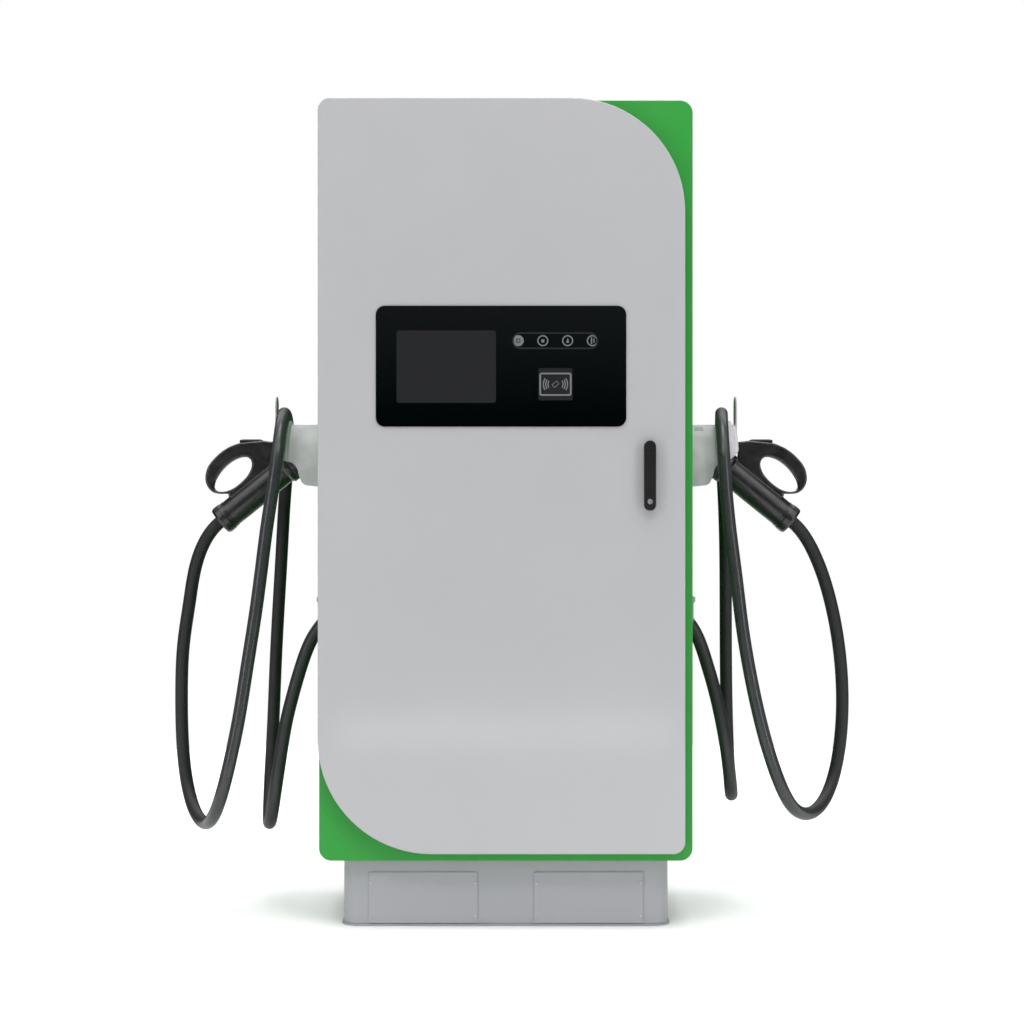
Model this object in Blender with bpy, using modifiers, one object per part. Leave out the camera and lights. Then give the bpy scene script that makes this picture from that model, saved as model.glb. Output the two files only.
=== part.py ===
"""Floor-standing charging post with two charging guns, as an assembly of separate pieces.

World frame: metres, +Z up, +X to the right of someone facing the door, +Y from the door to the
rear. The origin is on the ground under the middle of the post. Depths are measured from the
front plane of the cabinet shell towards the rear, and at(depth) gives their world Y.
"""
import math

import bmesh
import bpy
import numpy as np
from mathutils import Matrix, Vector

# ---------------------------------------------------------------- driving dimensions (metres)
GAP = 0.0003                    # play between pieces that touch
ARC_ERROR = 0.0005              # how far an arc's chords may fall short of the arc

SHELL_HALF_WIDTH = 0.375
SHELL_BOTTOM = 0.135
SHELL_TOP = 1.661
SHELL_DEPTH = 0.480
SHELL_CORNER = 0.025
SHEET = 0.0025                  # sheet steel of the shell, rack and rails

DOOR_LEFT, DOOR_RIGHT = -0.375, 0.358
DOOR_BOTTOM, DOOR_TOP = 0.1527, 1.661
DOOR_SWEEP = 0.227              # big radius at the top right and the bottom left
DOOR_CORNER = 0.024             # small radius at the other two corners
DOOR_FRONT = -0.029             # depth of the door's outer face
DOOR_REAR = -0.005              # depth of the edge of its return flange
DOOR_SHEET = 0.002
DOOR_INSIDE = DOOR_FRONT + DOOR_SHEET

OPENING_INSET = 0.036           # front opening, inside the door's outline
UPSTAND_REACH = -0.015          # the rain edge around the opening stands out to this depth
GASKET_INSETS = (0.031, 0.041)

HINGE_X = DOOR_LEFT + 0.010
HINGE_DEPTH = -0.017
HINGE_HEIGHTS = {"lower": 0.470, "upper": 1.560}

FASCIA = (-0.259, 0.240, 1.005, 1.246)          # x low, x high, z low, z high
WINDOW = (-0.235, 0.216, 1.029, 1.222)

HANDLE_X = 0.2868
HANDLE_WIDTH = 0.0235
HANDLE_TOP, HANDLE_BOTTOM = 0.977, 0.8376
HANDLE_SPLIT = 0.950            # the lever's shoulders end here and the turning boss begins
HANDLE_APEX = 0.9614            # between its shoulders the lever runs up to a point here
SPINDLE_Z = 0.964
LEVER_THICKNESS = 0.014
ESCUTCHEON_FRONT = DOOR_FRONT - GAP - 0.003
LEVER_REAR = ESCUTCHEON_FRONT - 0.0004
LEVER_FRONT = LEVER_REAR - LEVER_THICKNESS
CYLINDER_Z = 0.8555
ROD_OFFSET = 0.008
ROD_DEPTHS = (-0.0155, -0.0115)

HOOD_PROUD = 0.040              # exhaust hood behind the rear panel
REAR_SHEET = 0.002
REAR_PROUD = GAP + REAR_SHEET + GAP + HOOD_PROUD
FRONT_PROUD = -LEVER_FRONT + 0.0005             # the lock cylinder is the foremost piece

PLINTH_HALF_WIDTH = 0.329
PLINTH_SETBACK = 0.030
PLINTH_SHEET = 0.003
PLINTH_CORNER = 0.032
POCKET_X = (0.067, 0.267)
POCKET_Z = (0.015, 0.095)

RACK_HALF_WIDTH = 0.160
RACK_DEPTHS = (0.045, 0.440)
RACK_LEG = 0.0972               # free height under the lowest shelf
BAY_HEIGHT = 0.088
MODULE_SIZE = (0.308, 0.380, 0.084)
MODULE_COUNT = 4

PLATE_DEPTHS = (0.380, 0.383)
PLATE_HALF_WIDTH = 0.338
PLATE_HEIGHTS = (0.640, 1.320)

FAN_SIZE, FAN_DEPTH, FAN_BORE = 0.172, 0.051, 0.076
FAN_X, FAN_Z = 0.105, 1.440

HOLDER_DEPTH = 0.230
SADDLE_RADIUS = 0.105
SADDLE_TOP = 1.019
HOLDER_REACH = 0.4817
GUN_TILT = math.radians(39.0)                   # the gun's cable end hangs this far below level
GUN_NOSE = Vector((0.412, 0.0, 0.969))          # tip of the nose, from the middle of the post
GUN_LENGTH = 0.2455
SOCKET_MOUTH = 0.0577           # along the gun's axis from the tip of the nose

CABLE_DIAMETER = 0.027
CABLE_STEP = 0.042              # distance between the points of the cable's tube
CABLE_STUB = 0.008              # straight piece at both ends, square to what it meets
EXIT_DEPTH = 0.165
EXIT_X, EXIT_Z = 0.382, 0.603
EXIT_TILT = math.radians(38.0)                  # the cable leaves this far from straight down

# Route of each cable from its exit in the side wall to the gun: x, depth, z.
CABLE_ROUTES = {
    "left": [
        (-0.3820, 0.1650, 0.6030), (-0.4010, 0.1650, 0.5760), (-0.4220, 0.1641, 0.5270),
        (-0.4420, 0.1626, 0.4600), (-0.4580, 0.1609, 0.3940), (-0.4680, 0.1594, 0.3329),
        (-0.4775, 0.1595, 0.2692), (-0.4895, 0.1909, 0.2075), (-0.5040, 0.2682, 0.1744),
        (-0.5125, 0.3428, 0.2008), (-0.5141, 0.3801, 0.2587), (-0.5100, 0.3838, 0.3399),
        (-0.5060, 0.3803, 0.4200), (-0.5015, 0.3764, 0.5200), (-0.4945, 0.3697, 0.6401),
        (-0.4870, 0.3635, 0.7599), (-0.4790, 0.3590, 0.8850), (-0.4715, 0.3470, 0.9680),
        (-0.4685, 0.2980, 1.0233), (-0.4675, 0.2300, 1.0425), (-0.4660, 0.1620, 1.0233),
        (-0.4680, 0.1130, 0.9680), (-0.4774, 0.1010, 0.8900), (-0.4892, 0.1010, 0.8145),
        (-0.5012, 0.0981, 0.7200), (-0.5147, 0.0910, 0.6150), (-0.5295, 0.0834, 0.5161),
        (-0.5435, 0.0746, 0.4219), (-0.5587, 0.0699, 0.3429), (-0.5756, 0.0709, 0.2731),
        (-0.5982, 0.1031, 0.2147), (-0.6273, 0.1654, 0.1883), (-0.6564, 0.2238, 0.2063),
        (-0.6780, 0.2619, 0.2593), (-0.6886, 0.2667, 0.3513), (-0.6893, 0.2585, 0.4529),
        (-0.6836, 0.2484, 0.5551), (-0.6698, 0.2402, 0.6448), (-0.6474, 0.2325, 0.7475),
        (-0.6028, 0.2300, 0.8145)],
    "right": [
        (0.3820, 0.1650, 0.6030), (0.3990, 0.1650, 0.5740), (0.4167, 0.1634, 0.5235),
        (0.4321, 0.1608, 0.4701), (0.4460, 0.1582, 0.4099), (0.4559, 0.1564, 0.3556),
        (0.4645, 0.1691, 0.2984), (0.4730, 0.2109, 0.2517), (0.4790, 0.2689, 0.2349),
        (0.4823, 0.3288, 0.2519), (0.4830, 0.3716, 0.2998), (0.4815, 0.3854, 0.3700),
        (0.4795, 0.3829, 0.4499), (0.4782, 0.3784, 0.5400), (0.4772, 0.3709, 0.6501),
        (0.4755, 0.3639, 0.7699), (0.4710, 0.3590, 0.8850), (0.4655, 0.3470, 0.9680),
        (0.4605, 0.2980, 1.0233), (0.4545, 0.2300, 1.0425), (0.4485, 0.1620, 1.0233),
        (0.4470, 0.1130, 0.9680), (0.4510, 0.1010, 0.8900), (0.4610, 0.1019, 0.7901),
        (0.4725, 0.1003, 0.7000), (0.4845, 0.0963, 0.6000), (0.4998, 0.0917, 0.5055),
        (0.5172, 0.0859, 0.4210), (0.5367, 0.0822, 0.3466), (0.5603, 0.0862, 0.2798),
        (0.5898, 0.1159, 0.2285), (0.6281, 0.1657, 0.2072), (0.6653, 0.2146, 0.2235),
        (0.6928, 0.2482, 0.2713), (0.7091, 0.2552, 0.3526), (0.7124, 0.2496, 0.4544),
        (0.7035, 0.2431, 0.5555), (0.6845, 0.2383, 0.6510), (0.6491, 0.2326, 0.7504),
        (0.6028, 0.2300, 0.8145)],
}

TOTAL_DEPTH = FRONT_PROUD + SHELL_DEPTH + REAR_PROUD
FRONT_Y = FRONT_PROUD - TOTAL_DEPTH / 2

SIDES = {"left": math.pi, "right": 0.0}         # turn about Z of the right-hand pieces
PLANES = {                                      # from an outline's plane to the world
    "X": Matrix(((0, 0, 1, 0), (1, 0, 0, 0), (0, 1, 0, 0), (0, 0, 0, 1))),
    "Y": Matrix(((1, 0, 0, 0), (0, 0, -1, 0), (0, 1, 0, 0), (0, 0, 0, 1))),
    "Z": Matrix.Identity(4),
}


def at(depth):
    """World Y of a depth behind the shell's front plane."""
    return FRONT_Y + depth


# ---------------------------------------------------------------- scene and materials
def clear_scene():
    for old in list(bpy.data.objects):
        bpy.data.objects.remove(old, do_unlink=True)


def new_collection(name):
    collection = bpy.data.collections.new(name)
    bpy.context.scene.collection.children.link(collection)
    return collection


def new_material(name, colour, roughness, metallic=0.0):
    surface = bpy.data.materials.new(name)
    surface.use_nodes = True
    shader = surface.node_tree.nodes["Principled BSDF"]
    shader.inputs["Base Color"].default_value = (*colour, 1.0)
    shader.inputs["Roughness"].default_value = roughness
    shader.inputs["Metallic"].default_value = metallic
    return surface


clear_scene()
PARTS = new_collection("ev_charging_post")
CUTTERS = new_collection("cutters")

DOOR_GREY = new_material("door_grey", (0.49, 0.50, 0.53), 0.42)
PLINTH_GREY = new_material("plinth_grey", (0.36, 0.36, 0.38), 0.5)
GREEN = new_material("shell_green", (0.05, 0.33, 0.065), 0.42)
HOLDER_GREY = new_material("holder_grey", (0.42, 0.42, 0.44), 0.5)
GALVANISED = new_material("galvanised_steel", (0.55, 0.56, 0.57), 0.4, 0.9)
ALUMINIUM = new_material("module_aluminium", (0.62, 0.63, 0.64), 0.38, 0.9)
BLACK = new_material("black_plastic", (0.018, 0.018, 0.019), 0.45)
CABLE_BLACK = new_material("cable_black", (0.016, 0.017, 0.017), 0.4)
GLASS_BLACK = new_material("fascia_glass", (0.006, 0.008, 0.008), 0.12)
RUBBER = new_material("seal_rubber", (0.02, 0.02, 0.02), 0.8)
CIRCUIT = new_material("circuit_green", (0.02, 0.12, 0.06), 0.5)
DEVICE_GREY = new_material("device_grey", (0.30, 0.31, 0.32), 0.5)
STEEL = new_material("zinc_steel", (0.6, 0.6, 0.6), 0.3, 1.0)


# ---------------------------------------------------------------- modelling helpers
def add_object(name, mesh):
    piece = bpy.data.objects.new(name, mesh)
    PARTS.objects.link(piece)
    return piece


def finish(piece, surface, origin=None):
    """Give a piece its material, and its origin at a point or at the middle of its box."""
    mesh = piece.data
    mesh.materials.clear()
    mesh.materials.append(surface)
    mesh.shade_smooth()
    mesh.set_sharp_from_angle(angle=math.radians(32.0))
    if origin is None:
        corners = [Vector(corner) for corner in piece.bound_box]
        origin = (corners[0] + corners[6]) / 2
    shift = Vector(origin)
    mesh.transform(Matrix.Translation(-shift))
    piece.location = piece.location + shift
    return piece


def make_tool(piece):
    """Turn a solid into a Boolean's operand, which is a guide and not a piece."""
    PARTS.objects.unlink(piece)
    CUTTERS.objects.link(piece)
    piece.hide_render = True
    piece.display_type = "WIRE"


def combine(piece, operation, tools):
    for tool in tools:
        make_tool(tool)
        step = piece.modifiers.new(tool.name, "BOOLEAN")
        step.operation = operation
        step.object = tool
    return piece


def cut(piece, *tools):
    return combine(piece, "DIFFERENCE", tools)


def fuse(piece, *tools):
    return combine(piece, "UNION", tools)


def round_edges(piece, width, segments=1):
    step = piece.modifiers.new("rounded_edges", "BEVEL")
    step.width = width
    step.segments = segments
    step.limit_method = "ANGLE"
    step.angle_limit = math.radians(40.0)
    return piece


def box(name, low, high):
    """Box between two corners, each given as x, depth, z."""
    size = [top - bottom for bottom, top in zip(low, high)]
    shape = bmesh.new()
    bmesh.ops.create_cube(shape, size=1.0)
    bmesh.ops.scale(shape, vec=size, verts=shape.verts)
    centre = Vector([(bottom + top) / 2 for bottom, top in zip(low, high)])
    centre.y = at(centre.y)
    bmesh.ops.translate(shape, vec=centre, verts=shape.verts)
    mesh = bpy.data.meshes.new(name)
    shape.to_mesh(mesh)
    shape.free()
    return add_object(name, mesh)


def rod(name, start, end, radius, end_radius=None, segments=24):
    """Round bar or cone between two world points."""
    start, end = Vector(start), Vector(end)
    along = end - start
    shape = bmesh.new()
    bmesh.ops.create_cone(shape, cap_ends=True, segments=segments, radius1=radius,
                          radius2=radius if end_radius is None else end_radius,
                          depth=along.length)
    turn = along.to_track_quat("Z", "Y").to_matrix().to_4x4()
    bmesh.ops.transform(shape, matrix=Matrix.Translation((start + end) / 2) @ turn,
                        verts=shape.verts)
    mesh = bpy.data.meshes.new(name)
    shape.to_mesh(mesh)
    shape.free()
    return add_object(name, mesh)


def depth_rod(name, x, z, depth_low, depth_high, radius, segments=24):
    """Round bar that runs from front to rear."""
    return rod(name, (x, at(depth_low), z), (x, at(depth_high), z), radius, segments=segments)


def prism(name, loops, axis, low, high):
    """Flat outline, with any holes, extruded along a world axis between two coordinates."""
    outline = bpy.data.curves.new(name, "CURVE")
    outline.dimensions = "2D"
    outline.fill_mode = "BOTH"
    outline.extrude = (high - low) / 2
    for loop in loops:
        spline = outline.splines.new("POLY")
        spline.points.add(len(loop) - 1)
        for point, (across, upward) in zip(spline.points, loop):
            point.co = (across, upward, 0.0, 1.0)
        spline.use_cyclic_u = True
    flat = bpy.data.objects.new(name + "_outline", outline)
    bpy.context.scene.collection.objects.link(flat)
    evaluated = flat.evaluated_get(bpy.context.evaluated_depsgraph_get())
    mesh = bpy.data.meshes.new_from_object(evaluated)
    bpy.data.objects.remove(flat, do_unlink=True)
    shape = bmesh.new()
    shape.from_mesh(mesh)
    bmesh.ops.remove_doubles(shape, verts=shape.verts, dist=0.00001)
    bmesh.ops.transform(shape, matrix=PLANES[axis], verts=shape.verts)
    shift = Vector((0.0, 0.0, 0.0))
    shift["XYZ".index(axis)] = (low + high) / 2
    bmesh.ops.translate(shape, vec=shift, verts=shape.verts)
    shape.to_mesh(mesh)
    shape.free()
    return add_object(name, mesh)


def depth_prism(name, loops, depth_low, depth_high):
    """Outline in x and z, extruded from front to rear."""
    return prism(name, loops, "Y", at(depth_low), at(depth_high))


def arc(centre, radius, start, end):
    """Points of an arc between two angles in degrees, both ends included."""
    step = 2 * math.acos(1 - min(ARC_ERROR / radius, 0.5))
    sweep = math.radians(end - start)
    count = max(2, math.ceil(abs(sweep) / step))
    angles = [math.radians(start) + sweep * k / count for k in range(count + 1)]
    return [(centre[0] + radius * math.cos(angle), centre[1] + radius * math.sin(angle))
            for angle in angles]


def rounded_rectangle(left, right, bottom, top, radii):
    """Outline with its own radius at bottom left, bottom right, top right and top left."""
    corners = [(left, bottom, 1, 1, 180), (right, bottom, -1, 1, 270),
               (right, top, -1, -1, 0), (left, top, 1, -1, 90)]
    points = []
    for (x, z, inward_x, inward_z, start), radius in zip(corners, radii):
        centre = (x + inward_x * radius, z + inward_z * radius)
        points += arc(centre, radius, start, start + 90)
    return points


def stadium(x, bottom, top, width):
    half = width / 2
    return arc((x, bottom + half), half, 180, 360) + arc((x, top - half), half, 0, 180)


def door_outline(inset):
    """The door's outline, moved inwards by the inset."""
    sharp = max(DOOR_CORNER - inset, 0.006)
    sweep = DOOR_SWEEP - inset
    return rounded_rectangle(DOOR_LEFT + inset, DOOR_RIGHT - inset, DOOR_BOTTOM + inset,
                             DOOR_TOP - inset, (sweep, sharp, sweep, sharp))


def shell_outline(inset):
    return rounded_rectangle(-SHELL_HALF_WIDTH + inset, SHELL_HALF_WIDTH - inset,
                             SHELL_BOTTOM + inset, SHELL_TOP - inset,
                             (SHELL_CORNER - inset,) * 4)


def pivot(name, location, turn=0.0, parent=None):
    """Empty on a joint's axis, or at the middle of a group that is turned about Z."""
    empty = bpy.data.objects.new(name, None)
    PARTS.objects.link(empty)
    empty.location = location
    empty.rotation_euler = (0.0, 0.0, turn)
    if parent is not None:
        hang(parent, empty)
    return empty


def hang(parent, *children):
    """Parent pieces to an empty, keeping the place they were modelled in before it turned."""
    for child in children:
        child.parent = parent
        child.matrix_parent_inverse = Matrix.Translation(-parent.location)


# ---------------------------------------------------------------- plinth
def plinth_outline(inset):
    front = at(PLINTH_SETBACK)
    rear = at(SHELL_DEPTH - PLINTH_SETBACK)
    return rounded_rectangle(-PLINTH_HALF_WIDTH + inset, PLINTH_HALF_WIDTH - inset,
                             front + inset, rear - inset, (max(PLINTH_CORNER - inset, 0.008),) * 4)


def build_plinth():
    top = SHELL_BOTTOM - GAP
    frame = prism("plinth_frame", [plinth_outline(0.0), plinth_outline(PLINTH_SHEET)],
                  "Z", 0.001, top)
    foot = prism("plinth_foot", [plinth_outline(-0.004), plinth_outline(0.060)],
                 "Z", 0.0, PLINTH_SHEET)
    seat = prism("plinth_seat", [plinth_outline(0.001), plinth_outline(0.050)],
                 "Z", top - PLINTH_SHEET, top)
    fuse(frame, foot, seat)
    for side in (-1, 1):
        x_low, x_high = sorted((side * POCKET_X[0], side * POCKET_X[1]))
        cut(frame, box("fork_pocket", (x_low, 0.0, POCKET_Z[0]),
                       (x_high, SHELL_DEPTH, POCKET_Z[1])))
    for x in (-0.270, 0.270):
        for depth in (PLINTH_SETBACK + 0.042, SHELL_DEPTH - PLINTH_SETBACK - 0.042):
            cut(frame, rod("anchor_hole", (x, at(depth), -0.01), (x, at(depth), 0.01),
                           0.007, segments=16))
    finish(frame, PLINTH_GREY)


def build_fork_covers():
    faces = {"front": (PLINTH_SETBACK - GAP - 0.002, PLINTH_SETBACK - GAP),
             "rear": (SHELL_DEPTH - PLINTH_SETBACK + GAP, SHELL_DEPTH - PLINTH_SETBACK + GAP + 0.002)}
    margin = 0.010
    for face, (low, high) in faces.items():
        for side, sign in (("left", -1), ("right", 1)):
            ends = sorted((sign * (POCKET_X[0] - margin), sign * (POCKET_X[1] + margin)))
            outline = rounded_rectangle(ends[0], ends[1], PLINTH_SHEET + 0.002, 0.108,
                                        (0.003,) * 4)
            cover = depth_prism(f"fork_cover_{face}_{side}", [outline], low, high)
            finish(cover, PLINTH_GREY)


# ---------------------------------------------------------------- cabinet
def build_shell():
    shell = depth_prism("cabinet_shell", [shell_outline(0.0)], 0.0, SHELL_DEPTH)
    inside = depth_prism("shell_inside", [shell_outline(SHEET)], SHEET, SHELL_DEPTH - SHEET)
    front = depth_prism("front_opening", [door_outline(OPENING_INSET)], -0.01, 0.01)
    rear = depth_prism("rear_opening",
                       [rounded_rectangle(-0.318, 0.318, 0.178, 1.618, (0.010,) * 4)],
                       SHELL_DEPTH - 0.01, SHELL_DEPTH + 0.01)
    floor = box("floor_opening", (-0.135, 0.070, SHELL_BOTTOM - 0.01),
                (0.135, 0.250, SHELL_BOTTOM + 0.01))
    cut(shell, inside, front, rear, floor)
    for side in SIDES:
        x = SHELL_HALF_WIDTH if side == "right" else -SHELL_HALF_WIDTH
        cut(shell, box("cable_opening", (x - 0.01, EXIT_DEPTH - 0.019, 0.587),
                       (x + 0.01, EXIT_DEPTH + 0.019, 0.655)))
    upstand = depth_prism("rain_edge",
                          [door_outline(OPENING_INSET - 0.002), door_outline(OPENING_INSET)],
                          UPSTAND_REACH, SHEET / 2)
    fuse(shell, upstand)
    finish(shell, GREEN)


def build_gland_plate():
    bottom = SHELL_BOTTOM + SHEET + GAP
    plate = box("gland_plate", (-0.150, 0.055, bottom), (0.150, 0.265, bottom + 0.003))
    hole = rod("supply_hole", (0.0, at(0.160), bottom - 0.01), (0.0, at(0.160), bottom + 0.01),
               0.032)
    finish(cut(plate, hole), GALVANISED)


def build_rear_panel():
    low = SHELL_DEPTH + GAP
    outline = rounded_rectangle(-0.335, 0.335, 0.160, 1.636, (0.012,) * 4)
    panel = depth_prism("rear_panel", [outline], low, low + REAR_SHEET)
    for x in (-FAN_X, FAN_X):
        cut(panel, depth_rod("fan_aperture", x, FAN_Z, low - 0.01, low + 0.01, FAN_BORE,
                             segments=32))
    rows, pitch = 9, 0.032
    for column in (-0.125, 0.125):
        for row in range(rows):
            z = 0.270 + row * pitch
            cut(panel, box("louvre_slot", (column - 0.095, low - 0.01, z),
                           (column + 0.095, low + 0.01, z + 0.009)))
    finish(panel, DOOR_GREY)


def build_exhaust_hood():
    low = SHELL_DEPTH + GAP + REAR_SHEET + GAP
    high = low + HOOD_PROUD
    side = [(at(low), 1.335), (at(high), 1.335), (at(high), 1.520), (at(high) - 0.022, 1.560),
            (at(low), 1.560)]
    wall = 0.002
    inner = [(at(low) - 0.01, 1.300), (at(high) - wall, 1.300), (at(high) - wall, 1.520 - wall / 2),
             (at(high) - 0.022 - wall / 2, 1.560 - wall), (at(low) - 0.01, 1.560 - wall)]
    hood = prism("exhaust_hood", [side], "X", -0.205, 0.205)
    hollow = prism("hood_hollow", [inner], "X", -0.205 + wall, 0.205 - wall)
    finish(cut(hood, hollow), DOOR_GREY)


def build_rack():
    bottom = SHELL_BOTTOM + SHEET + GAP
    shelf = bottom + RACK_LEG
    top = shelf + SHEET + MODULE_COUNT * (BAY_HEIGHT + SHEET)
    rack = box("module_rack", (-RACK_HALF_WIDTH, RACK_DEPTHS[0], bottom),
               (RACK_HALF_WIDTH, RACK_DEPTHS[1], top))
    inner = RACK_HALF_WIDTH - SHEET
    cut(rack, box("rack_leg_space", (-inner, 0.0, bottom - 0.01), (inner, 0.47, shelf)))
    for bay in range(MODULE_COUNT):
        floor = shelf + SHEET + bay * (BAY_HEIGHT + SHEET)
        cut(rack, box("module_bay", (-inner, 0.0, floor), (inner, 0.47, floor + BAY_HEIGHT)))
        width, depth, height = MODULE_SIZE
        module = box(f"power_module_{bay + 1}", (-width / 2, RACK_DEPTHS[0], floor + GAP),
                     (width / 2, RACK_DEPTHS[0] + depth, floor + GAP + height))
        finish(round_edges(module, 0.002), ALUMINIUM)
    finish(rack, GALVANISED)


def build_rails_and_plate():
    low = PLATE_DEPTHS[1] + GAP
    outer = SHELL_HALF_WIDTH - SHEET - GAP
    leg = 0.030
    for side, sign in (("left", -1), ("right", 1)):
        profile = [(outer - leg, at(low)), (outer, at(low)), (outer, at(low + leg)),
                   (outer - SHEET, at(low + leg)), (outer - SHEET, at(low + SHEET)),
                   (outer - leg, at(low + SHEET))]
        if sign < 0:
            profile = [(-x, y) for x, y in reversed(profile)]
        finish(prism(f"rail_{side}", [profile], "Z", 0.170, 1.500), GALVANISED)
    plate = box("mounting_plate", (-PLATE_HALF_WIDTH, PLATE_DEPTHS[0], PLATE_HEIGHTS[0]),
                (PLATE_HALF_WIDTH, PLATE_DEPTHS[1], PLATE_HEIGHTS[1]))
    finish(plate, GALVANISED)


def build_devices():
    rear = PLATE_DEPTHS[0] - GAP
    devices = {
        "dc_contactor_left": ((-0.060, 0.295, 0.700), (0.020, rear, 0.805), BLACK),
        "dc_contactor_right": ((0.050, 0.295, 0.700), (0.130, rear, 0.805), BLACK),
        "energy_meter": ((0.170, 0.310, 0.700), (0.270, rear, 0.830), DEVICE_GREY),
        "power_supply": ((-0.270, 0.262, 0.900), (-0.160, rear, 1.025), ALUMINIUM),
        "control_unit": ((-0.110, 0.335, 0.990), (0.190, rear, 1.190), CIRCUIT),
    }
    for name, (low, high, surface) in devices.items():
        finish(round_edges(box(name, low, high), 0.003), surface)


def build_breaker():
    rear = PLATE_DEPTHS[0] - GAP
    front = 0.294
    x, z = -0.1875, 0.780
    breaker = box("main_breaker", (x - 0.0525, front, z - 0.080), (x + 0.0525, rear, z + 0.080))
    slot = box("toggle_slot", (x - 0.018, front - 0.01, z - 0.026),
               (x + 0.018, front + 0.022, z + 0.026))
    finish(cut(breaker, slot), BLACK)
    axis = Vector((x, at(front + 0.010), z))
    half_barrel = Vector((0.016, 0.0, 0.0))
    barrel = rod("breaker_toggle", axis - half_barrel, axis + half_barrel, 0.008, segments=16)
    tilt = math.radians(20.0)
    outward = Vector((0.0, -math.cos(tilt), math.sin(tilt)))
    arm = rod("toggle_arm", axis + outward * 0.004, axis + outward * 0.034, 0.006, segments=12)
    fuse(barrel, arm)
    finish(barrel, DEVICE_GREY, axis)
    hang(pivot("breaker_axis", axis), barrel)


def build_fans():
    rear = SHELL_DEPTH - GAP
    front = rear - FAN_DEPTH
    half = FAN_SIZE / 2
    for side, x in (("left", -FAN_X), ("right", FAN_X)):
        frame = rounded_rectangle(x - half, x + half, FAN_Z - half, FAN_Z + half, (0.008,) * 4)
        bore = arc((x, FAN_Z), FAN_BORE, 0, 360)[:-1]
        housing = depth_prism(f"fan_housing_{side}", [frame, bore], front, rear)
        fuse(housing,
             box("fan_strut", (x - half + 0.004, rear - 0.004, FAN_Z - 0.005),
                 (x + half - 0.004, rear - 0.001, FAN_Z + 0.005)),
             box("fan_strut", (x - 0.005, rear - 0.0045, FAN_Z - half + 0.004),
                 (x + 0.005, rear - 0.0015, FAN_Z + half - 0.004)))
        finish(housing, BLACK)
        blades, points = 7, []
        for blade in range(blades):
            start = 360.0 * blade / blades
            points += arc((x, FAN_Z), 0.028, start, start + 20)
            points += arc((x, FAN_Z), 0.071, start + 22, start + 46)
        rotor = depth_prism(f"fan_rotor_{side}", [points], front + 0.006, rear - 0.012)
        axis = Vector((x, at(front + 0.020), FAN_Z))
        finish(rotor, BLACK, axis)
        hang(pivot(f"fan_axis_{side}", axis), rotor)


# ---------------------------------------------------------------- door
def build_door(hinge):
    door = depth_prism("front_door", [door_outline(0.0)], DOOR_FRONT, DOOR_REAR)
    inside = depth_prism("door_inside", [door_outline(DOOR_SHEET)], DOOR_INSIDE, 0.01)
    window = depth_prism("door_window", [rounded_rectangle(*WINDOW, (0.006,) * 4)],
                         DOOR_FRONT - 0.01, DOOR_INSIDE + 0.01)
    hole = depth_rod("spindle_hole", HANDLE_X, SPINDLE_Z, DOOR_FRONT - 0.01, DOOR_INSIDE + 0.01,
                     0.0070)
    finish(cut(door, inside, window, hole), DOOR_GREY, hinge.location)
    gasket = depth_prism("door_gasket", [door_outline(inset) for inset in GASKET_INSETS],
                         DOOR_INSIDE + GAP, UPSTAND_REACH - GAP)
    finish(gasket, RUBBER)
    hang(hinge, door, gasket)


def build_display(hinge):
    front = DOOR_FRONT - GAP - 0.0025
    fascia = depth_prism("display_fascia", [rounded_rectangle(*FASCIA, (0.018,) * 4)],
                         front, DOOR_FRONT - GAP)
    finish(fascia, GLASS_BLACK)
    behind = DOOR_FRONT
    pieces = {
        "display_module": ((-0.228, behind, 1.0415), (-0.009, 0.010, 1.2070), DEVICE_GREY),
        "indicator_board": ((0.010, behind, 1.156), (0.188, -0.018, 1.196), CIRCUIT),
        "card_reader": ((0.058, behind, 1.052), (0.140, -0.012, 1.128), BLACK),
    }
    hang(hinge, fascia)
    for name, (low, high, surface) in pieces.items():
        hang(hinge, finish(round_edges(box(name, low, high), 0.0015), surface))


def build_hinges(hinge):
    axis_y = at(HINGE_DEPTH)
    for name, z in HINGE_HEIGHTS.items():
        axis = Vector((HINGE_X, axis_y, z))
        up = Vector((0.0, 0.0, 1.0))
        knuckle = rod(f"hinge_frame_leaf_{name}", axis - up * 0.014, axis + up * 0.014, 0.006)
        arm = box("leaf_arm", (HINGE_X + 0.002, HINGE_DEPTH - 0.0015, z - 0.013),
                  (HINGE_X + 0.0195, HINGE_DEPTH + 0.0015, z + 0.013))
        stem = box("leaf_stem", (HINGE_X + 0.0165, HINGE_DEPTH - 0.001, z - 0.0125),
                   (HINGE_X + 0.0195, -GAP, z + 0.0125))
        foot = box("leaf_foot", (HINGE_X + 0.0160, -0.003, z - 0.030),
                   (HINGE_X + 0.0232, -GAP - 0.0001, z + 0.030))
        bore = rod("leaf_bore", axis - up * 0.02, axis + up * 0.02, 0.0032)
        fuse(knuckle, arm, stem, foot)
        finish(cut(knuckle, bore), STEEL)
        pin = rod(f"hinge_door_leaf_{name}", axis - up * 0.023, axis + up * 0.023, 0.003)
        for sign in (-1, 1):
            ends = sorted((z + sign * 0.0165, z + sign * 0.0215))
            fuse(pin, box("pin_arm", (HINGE_X - 0.004, DOOR_INSIDE + GAP + 0.0001, ends[0]),
                          (HINGE_X + 0.004, HINGE_DEPTH + 0.004, ends[1])))
        fuse(pin, box("pin_plate", (HINGE_X - 0.005, DOOR_INSIDE + GAP, z - 0.025),
                      (HINGE_X + 0.0170, DOOR_INSIDE + GAP + 0.0025, z + 0.025)))
        finish(pin, STEEL, axis)
        hang(hinge, pin)


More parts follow.
